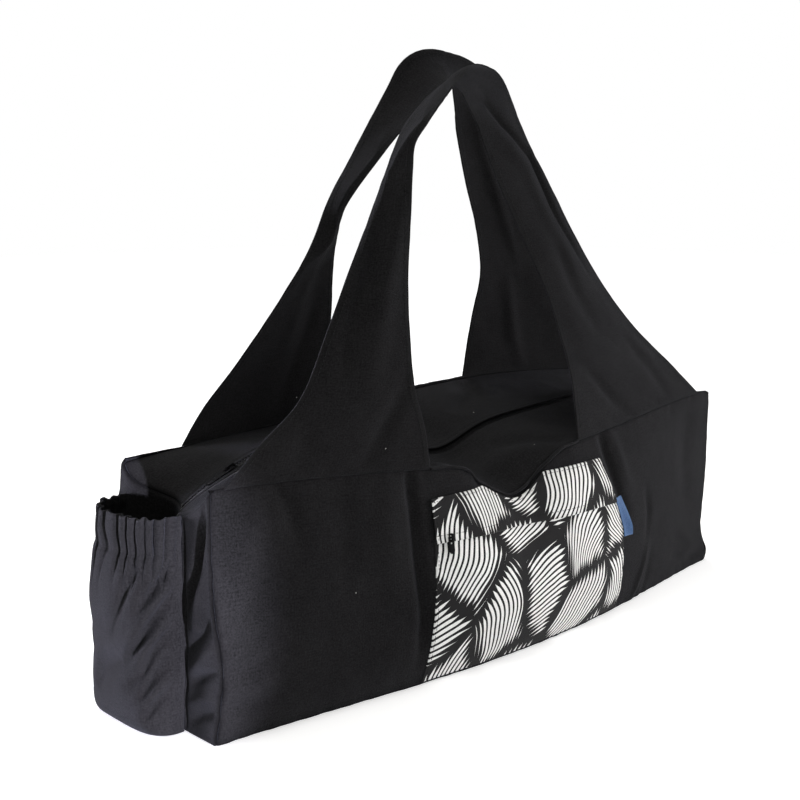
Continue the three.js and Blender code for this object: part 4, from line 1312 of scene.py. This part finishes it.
# Painted shade along the sewn seams, not a colour of the cloth
SEAM_SHADE_BLACK = (0.001, 0.001, 0.001, 1)
LINT_COLOUR = (0.5, 0.5, 0.48, 1)
TAPE_DARK = (0.008, 0.008, 0.009, 1)
TAPE_PALE = (0.03, 0.03, 0.032, 1)
COIL_DARK = (0.006, 0.006, 0.007, 1)
COIL_PALE = (0.028, 0.028, 0.03, 1)
PAINT_DARK = (0.005, 0.005, 0.0055, 1)
PAINT_PALE = (0.018, 0.018, 0.019, 1)
PAINT_CHIPPED = (0.07, 0.07, 0.07, 1)
RIBBON_DARK = (0.02, 0.055, 0.15, 1)
RIBBON_PALE = (0.06, 0.13, 0.28, 1)
RIBBON_RUBBED = (0.16, 0.27, 0.45, 1)
THREAD_DARK = (0.004, 0.004, 0.0042, 1)
THREAD_PALE = (0.013, 0.013, 0.0136, 1)
FLOOR_DULL = (0.76, 0.76, 0.76, 1)
FLOOR_PALE = (0.8, 0.8, 0.8, 1)
INK_WHITE = (0.82, 0.82, 0.8, 1)
INK_WORN = (0.68, 0.68, 0.67, 1)
PRINT_GROUND = (0.013, 0.013, 0.0135, 1)


def black_cotton():
    material, tree, shader = new_finish(
        "black cotton", 0.95, sheen=0.03, sheen_roughness=0.4, sheen_tint=COTTON_SHEEN
    )
    woven = woven_of(tree, cloth_place_of(tree), thread=0.0011, slub=0.5, lint=0.8)
    colour = mix_of(tree, woven["Mottle"], COTTON_DARK, COTTON_PALE)
    colour = mix_of(tree, woven["Wear"], colour, COTTON_RUBBED)
    # Painted shade: the sewn edges are darkened towards black
    colour = mix_of(tree, woven["Seam Shade"], colour, SEAM_SHADE_BLACK)
    colour = mix_of(tree, woven["Lint"], colour, LINT_COLOUR)
    lay_on(tree, shader, colour, woven["Height"], strength=0.6, depth=0.0005)
    return material


# Print: the leaves' slant, size and turn, then the spacing, thickness and form of their strokes
FROND_SLANT = -1.1
FROND_SIZE = (0.08, 0.059, 1)
FROND_TURN = 1.9
STROKE_SPACING = 0.0051
STROKE_SHARE = 0.6
STROKE_WAVER = (0.007, 0.007, 0)
STROKE_CURVE = 20.0
STROKE_FAN = 5.0
STROKE_RAGGED = -0.09


def frond_group():
    """Leaf fronds in brush strokes: the cloth parts into leaves, each with its own way of strokes."""
    group, given, made = new_group(
        "frond strokes",
        [("Vector", "NodeSocketVector", None)],
        [("Ink", "NodeSocketFloat")],
    )

    def vector(operation, first, second):
        return node_of(group, "ShaderNodeVectorMath", {0: first, 1: second}, operation=operation).outputs[0]

    def turned(place, angle):
        values = {"Vector": place, "Angle": angle}
        return node_of(group, "ShaderNodeVectorRotate", values, rotation_type="Z_AXIS").outputs[0]

    def parts(place):
        return node_of(group, "ShaderNodeSeparateXYZ", {0: place}).outputs

    waver = node_of(group, "ShaderNodeTexNoise", {"Vector": given["Vector"], "Scale": 22.0, "Detail": 1.0})
    waver = vector("SUBTRACT", waver.outputs["Color"], (0.5, 0.5, 0.5))
    drawn = vector("ADD", given["Vector"], vector("MULTIPLY", waver, STROKE_WAVER))
    slanted = turned(drawn, FROND_SLANT)
    cell = vector("DIVIDE", slanted, FROND_SIZE)
    values = {"Vector": cell, "Scale": 1.0, "Randomness": 0.85}
    leaf = node_of(group, "ShaderNodeTexVoronoi", values, voronoi_dimensions="2D").outputs
    border = node_of(
        group, "ShaderNodeTexVoronoi", values, voronoi_dimensions="2D", feature="DISTANCE_TO_EDGE"
    ).outputs["Distance"]
    chance = parts(leaf["Color"])
    angle = math_of(group, "MULTIPLY", math_of(group, "SUBTRACT", chance["X"], 0.5), FROND_TURN)
    local = parts(turned(vector("MULTIPLY", vector("SUBTRACT", cell, leaf["Position"]), FROND_SIZE), angle))
    curve = math_of(group, "MULTIPLY", math_of(group, "SUBTRACT", chance["Y"], 0.5), STROKE_CURVE)
    bent = math_of(group, "MULTIPLY_ADD", math_of(group, "POWER", local["X"], 2.0), curve, local["Y"])
    fan = math_of(group, "MAXIMUM", math_of(group, "MULTIPLY_ADD", local["X"], STROKE_FAN, 1.0), 0.8)
    stroke = math_of(group, "DIVIDE", math_of(group, "DIVIDE", bent, fan), STROKE_SPACING)
    stroke = math_of(group, "ADD", stroke, chance["Z"])
    number = math_of(group, "FLOOR", stroke)
    lot = node_of(group, "ShaderNodeCombineXYZ", {0: number, 1: chance["X"]}).outputs[0]
    uneven = node_of(group, "ShaderNodeTexWhiteNoise", {"Vector": lot}, noise_dimensions="2D")
    uneven = uneven.outputs["Value"]
    aside = math_of(group, "SUBTRACT", math_of(group, "FRACT", stroke), 0.5)
    aside = math_of(group, "MULTIPLY", math_of(group, "ABSOLUTE", aside), 2.0)
    inside = math_of(group, "MULTIPLY_ADD", uneven, STROKE_RAGGED, border)
    span = {"Value": inside, "From Min": -0.01, "From Max": 0.13, "To Min": 0.0, "To Max": STROKE_SHARE}
    wide = node_of(group, "ShaderNodeMapRange", span, interpolation_type="SMOOTHSTEP").outputs[0]
    group.links.new(math_of(group, "LESS_THAN", aside, wide), made["Ink"])
    return group


FRONDS = frond_group()


def printed_cotton():
    material, tree, shader = new_finish("printed cotton", 0.9, sheen=0.05)
    place = cloth_place_of(tree)
    woven = woven_of(tree, place, thread=0.0009, slub=0.4, lint=0.2)
    fronds = tree.nodes.new("ShaderNodeGroup")
    fronds.node_tree = FRONDS
    tree.links.new(place, fronds.inputs["Vector"])
    ink = fronds.outputs["Ink"]
    ground = mix_of(tree, woven["Mottle"], PRINT_GROUND, COTTON_PALE)
    white = mix_of(tree, woven["Mottle"], INK_WHITE, INK_WORN)
    colour = mix_of(tree, ink, ground, white)
    colour = mix_of(tree, math_of(tree, "MULTIPLY", woven["Wear"], 0.3), colour, COTTON_RUBBED)
    height = math_of(tree, "MULTIPLY_ADD", ink, 0.25, woven["Height"])
    lay_on(tree, shader, colour, height, strength=0.4, depth=0.0003)
    return material


def zip_tape_cloth():
    material, tree, shader = new_finish("zip tape", 0.85, sheen=0.1)
    woven = woven_of(tree, cloth_place_of(tree), thread=0.0007, slub=0.3, lint=0.2)
    colour = mix_of(tree, woven["Mottle"], TAPE_DARK, TAPE_PALE)
    lay_on(tree, shader, colour, woven["Height"], strength=0.6, depth=0.0003)
    return material


def object_noise(tree, scale, detail):
    place = node_of(tree, "ShaderNodeTexCoord").outputs["Object"]
    values = {"Vector": place, "Scale": scale, "Detail": detail, "Roughness": 0.6}
    return node_of(tree, "ShaderNodeTexNoise", values).outputs["Fac"]


def nylon_coil():
    material, tree, shader = new_finish("nylon coil", 0.6, specular=0.02)
    noise = object_noise(tree, scale=900.0, detail=2.0)
    colour = mix_of(tree, noise, COIL_DARK, COIL_PALE)
    lay_on(tree, shader, colour, noise, strength=0.2, depth=0.0002)
    return material


def painted_metal():
    material, tree, shader = new_finish("black painted metal", 0.6, specular=0)
    noise = object_noise(tree, scale=420.0, detail=5.0)
    chips = math_of(tree, "MULTIPLY", math_of(tree, "GREATER_THAN", noise, 0.66), 0.8)
    colour = mix_of(tree, noise, PAINT_DARK, PAINT_PALE)
    colour = mix_of(tree, chips, colour, PAINT_CHIPPED)
    rough = math_of(tree, "MULTIPLY_ADD", noise, 0.3, 0.42)
    tree.links.new(rough, shader.inputs["Roughness"])
    lay_on(tree, shader, colour, noise, strength=0.15, depth=0.0002)
    return material


def blue_ribbon():
    material, tree, shader = new_finish("blue woven ribbon", 0.7, sheen=0.1)
    woven = woven_of(tree, cloth_place_of(tree), thread=0.0007, slub=0.4, lint=0.1)
    colour = mix_of(tree, woven["Mottle"], RIBBON_DARK, RIBBON_PALE)
    colour = mix_of(tree, woven["Wear"], colour, RIBBON_RUBBED)
    lay_on(tree, shader, colour, woven["Height"], strength=0.6, depth=0.0003)
    return material


def black_thread():
    material, tree, shader = new_finish("black thread", 0.8, sheen=0.05)
    noise = object_noise(tree, scale=1500.0, detail=3.0)
    colour = mix_of(tree, noise, THREAD_DARK, THREAD_PALE)
    lay_on(tree, shader, colour, noise, strength=0.4, depth=0.0002)
    return material


# Stage: floor, light and the photograph's camera
def make_stage():
    bpy.ops.mesh.primitive_plane_add(size=FLOOR_SIZE)
    floor = bpy.context.object
    floor.name = "pale_floor"
    material, tree, shader = new_finish("pale floor", 0.8)
    noise = object_noise(tree, scale=3.0, detail=2.0)
    pale = mix_of(tree, noise, FLOOR_DULL, FLOOR_PALE)
    tree.links.new(pale, shader.inputs["Base Color"])
    place = node_of(tree, "ShaderNodeTexCoord").outputs["Object"]
    away = node_of(tree, "ShaderNodeVectorMath", {0: place}, operation="LENGTH").outputs["Value"]
    span = {"Value": away, "From Min": FLOOR_GLOW_START, "From Max": FLOOR_GLOW_END}
    span = {**span, "To Min": FLOOR_GLOW_NEAR, "To Max": FLOOR_GLOW_FAR}
    glow = node_of(tree, "ShaderNodeMapRange", span, interpolation_type="SMOOTHSTEP").outputs[0]
    tree.links.new(mix_of(tree, glow, (0, 0, 0, 1), (1, 1, 1, 1)), shader.inputs["Emission Color"])
    shader.inputs["Emission Strength"].default_value = 1
    floor.data.materials.append(material)
    world = bpy.data.worlds.new("studio")
    world.use_nodes = True
    tree = world.node_tree
    seen = node_of(tree, "ShaderNodeLightPath").outputs["Is Camera Ray"]
    strength = math_of(tree, "MULTIPLY_ADD", seen, 1 - AMBIENT, AMBIENT)
    tree.nodes["Background"].inputs["Color"].default_value = (1, 1, 1, 1)
    tree.links.new(strength, tree.nodes["Background"].inputs["Strength"])
    bpy.context.scene.world = world
    bpy.context.scene.view_settings.view_transform = "Standard"


def place_light(name, light, place, target):
    lamp = bpy.data.objects.new(name, light)
    lamp.location = place
    lamp.rotation_euler = (Vector(target) - Vector(place)).to_track_quat("-Z", "Y").to_euler()
    bpy.context.scene.collection.objects.link(lamp)
    return lamp


def add_softbox(name, place, target, size, power, colour, spread):
    light = bpy.data.lights.new(name, "AREA")
    light.shape = "RECTANGLE"
    light.size, light.size_y = size
    light.energy = power
    light.color = colour
    light.spread = math.radians(spread)
    place_light(name, light, place, target).visible_camera = False


def add_spot(name, place, target, power, colour, angle):
    light = bpy.data.lights.new(name, "SPOT")
    light.energy = power
    light.color = colour
    light.spot_size = math.radians(angle)
    light.spot_blend = 0.2
    light.shadow_soft_size = 0.03
    place_light(name, light, place, target)


def make_camera():
    camera = bpy.data.objects.new("camera", bpy.data.cameras.new("camera"))
    camera.data.lens = CAMERA_LENS
    camera.data.sensor_width = 36
    camera.data.clip_end = 50
    camera.location = to_metres(CAMERA_PLACE)
    yaw = math.radians(CAMERA_YAW)
    pitch = math.radians(CAMERA_PITCH)
    ahead = Vector((math.cos(yaw) * math.cos(pitch), math.sin(yaw) * math.cos(pitch), -math.sin(pitch)))
    camera.rotation_euler = ahead.to_track_quat("-Z", "Y").to_euler()
    bpy.context.scene.collection.objects.link(camera)
    bpy.context.scene.camera = camera


make_stage()
make_camera()
for softbox in SOFTBOXES:
    add_softbox(*softbox)
add_spot(*WINDOW_SPOT)

# Pieces
cotton = black_cotton()
printed = printed_cotton()
tape = zip_tape_cloth()
coil = nylon_coil()
metal = painted_metal()
ribbon = blue_ribbon()
thread = black_thread()


def handle_thickness(shown):
    across = np.linalg.norm(np.diff(shown, axis=1), axis=-1)
    left = np.pad(np.cumsum(across, axis=1), ((0, 0), (1, 0)))
    edge = np.minimum(left, left[:, -1:] - left)
    return HANDLE_CLOTH + HANDLE_HEM * (1 - ramp(edge, HANDLE_HEM_WIDTH - 1, HANDLE_HEM_WIDTH + 0.6))


def place_piece(piece, slot, *nodes):
    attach(piece, "bag")
    if nodes:
        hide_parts(*nodes)
    return piece


near_end = end_face(-HALF, near_x, near_top_z, -1, NEAR_FOLDS, 41)
far_end = end_face(HALF, far_x, far_top_z, 1, FAR_FOLDS, 46)
front_handle = handle_face(
    handle_base(FRONT_LEGS, FRONT_SECTIONS, front_seam), FRONT_SECTIONS, FRONT_HANDLE_FOLDS, 1, 91
)
back_handle = handle_face(
    handle_base(BACK_LEGS, BACK_SECTIONS, back_seam), BACK_SECTIONS, BACK_HANDLE_FOLDS, -1, 96
)
pocket_below_zip = patch_face(lambda x: PATCH_BOTTOM_Z + 0 * x, patch_zip_z, 0)
pocket_above_zip = patch_face(lambda x: patch_zip_z(x) - PATCH_LAP, patch_top_z, PATCH_BAND_PROUD)

# Name, CAD node, face, columns, rows, thickness, which way it faces, finish and slot
CLOTH_PIECES = [
    ("front_cloth", "front_panel", front_face, 300, 90, CLOTH, 1, cotton, "cotton"),
    ("back_cloth", "back_panel", back_face, 220, 70, CLOTH, -1, cotton, "cotton"),
    ("base_cloth", "base_panel", base_face, 120, 30, BASE_CLOTH, -1, cotton, "cotton"),
    ("near_end_cloth", "end_panel_near", near_end, 150, 90, CLOTH, -1, cotton, "cotton"),
    ("far_end_cloth", "end_panel_far", far_end, 80, 80, CLOTH, 1, cotton, "cotton"),
    ("top_front_cloth", "top_panel_front", top_face(True), 260, 40, CLOTH, 1, cotton, "cotton"),
    ("top_back_cloth", "top_panel_back", top_face(False), 260, 40, CLOTH, 1, cotton, "cotton"),
    ("end_pocket_cloth", "end_pocket", pocket_face, 240, 110, CLOTH, -1, cotton, "cotton"),
    ("print_pocket_cloth", "print_pocket", pocket_below_zip, 160, 70, PATCH_CLOTH, 1, printed, "print"),
    ("print_band_cloth", "print_band", pocket_above_zip, 160, 28, PATCH_CLOTH, 1, printed, "print"),
    ("zip_tape_cloth", "zip_tape", zip_tape_face, 260, 8, ZIP_TAPE_CLOTH, 1, tape, "zip_tape"),
    ("tab_ribbon", "label_tab", tab_face, 14, 30, TAB_RIBBON, 1, ribbon, "tab"),
]
for name, node, face, columns, rows, thickness, facing, finish, slot in CLOTH_PIECES:
    place_piece(cloth_piece(name, face, columns, rows, thickness, facing, finish), slot, node)
for name, node, face in (
    ("front_handle_cloth", "front_handle", front_handle),
    ("back_handle_cloth", "back_handle", back_handle),
):
    piece = cloth_piece(name, face, 46, 330, handle_thickness, 1, cotton, middle=True)
    place_piece(piece, "cotton", node)


def handle_stitches(name):
    sides = [(side, layer) for side in ("left", "right") for layer in ("outer", "inner")]
    start = HANDLE_STITCH_START
    return [edge_line(name, side, HANDLE_STITCH_INSET, layer, start, 1 - start) for side, layer in sides]


STITCHING = {
    "front_handle_stitching": handle_stitches("front_handle_cloth"),
    "back_handle_stitching": handle_stitches("back_handle_cloth"),
    "top_stitching": [
        edge_line("top_front_cloth", "high", TOP_STITCH_INSET),
        edge_line("top_back_cloth", "low", TOP_STITCH_INSET),
    ],
    "patch_stitching": [
        edge_line("print_pocket_cloth", "left", PATCH_STITCH_INSET),
        edge_line("print_pocket_cloth", "right", PATCH_STITCH_INSET),
        edge_line("print_band_cloth", "left", PATCH_STITCH_INSET, start=0.1),
        edge_line("print_band_cloth", "right", PATCH_STITCH_INSET, start=0.1),
        edge_line("print_band_cloth", "low", 6),
        edge_line("print_band_cloth", "high", PATCH_STITCH_INSET),
    ],
    "end_pocket_stitching": [
        edge_line("end_pocket_cloth", "left", POCKET_STITCH_INSET, start=0.2),
        edge_line("end_pocket_cloth", "right", POCKET_STITCH_INSET, start=0.2),
        edge_line("end_pocket_cloth", "high", 5),
        edge_line("end_pocket_cloth", "high", 27),
    ],
}
for name, lines in STITCHING.items():
    place_piece(stitch_piece(name, lines, thread), "cotton")


def seam_hem(name, seam, legs, seed):
    x = np.linspace(legs["left_inner"], legs["right_inner"], HEM_STEPS)
    flat = 0 * x
    rise = HANDLE_SEAM_TUCK + HEM_RISE + HEM_RISE_VARIES * cloth_noise(x, flat, 11, seed + 1)
    path = seam(x) + spaced(flat, HEM_WANDER * cloth_noise(x, flat, 12, seed), rise)
    radius = HEM_RADIUS + HEM_RADIUS_VARIES * cloth_noise(x, flat, 16, seed + 2)
    return hem_piece(name, path, radius, cotton)


place_piece(seam_hem("front_seam_hem", front_seam, FRONT_LEGS, 101), "cotton")
place_piece(seam_hem("back_seam_hem", back_seam, BACK_LEGS, 104), "cotton")


def zip_coil():
    """The two rows of the coil, each tooth a short rounded bar reaching past the middle."""
    x = np.arange(-HALF + ZIP_COIL_START, HALF - ZIP_COIL_STOP, ZIP_TOOTH_PITCH)
    lines = []
    for index, place in enumerate(x):
        side = 1 if index % 2 else -1
        reach = np.array([-ZIP_TOOTH_PAST, ZIP_TOOTH_LENGTH - ZIP_TOOTH_PAST])
        share = 0.5 + side * reach / top_depth(place)
        points = np.stack([spaced(*top_point(place, one)) for one in share])
        points[:, 2] -= zip_depth(place, ZIP_COIL_DROP)
        lines.append((points, np.tile((0.0, 0.0, 1.0), (2, 1))))
    return stitch_piece("zip_coil", lines, coil, ZIP_TOOTH_LENGTH, ZIP_TOOTH_LENGTH, ZIP_TOOTH_RADIUS)


place_piece(zip_coil(), "zip_tape")

# The sliders and pulls keep their solids, with eased edges
for name in ("zip_slider", "zip_pull", "pocket_zip_slider", "pocket_zip_pull"):
    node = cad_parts[name]
    eased = node.modifiers.new("eased edges", "BEVEL")
    eased.width = 0.35 * MM
    eased.segments = 3
    eased.limit_method = "ANGLE"
    for place in range(len(node.data.materials)):
        node.material_slots[place].material = metal
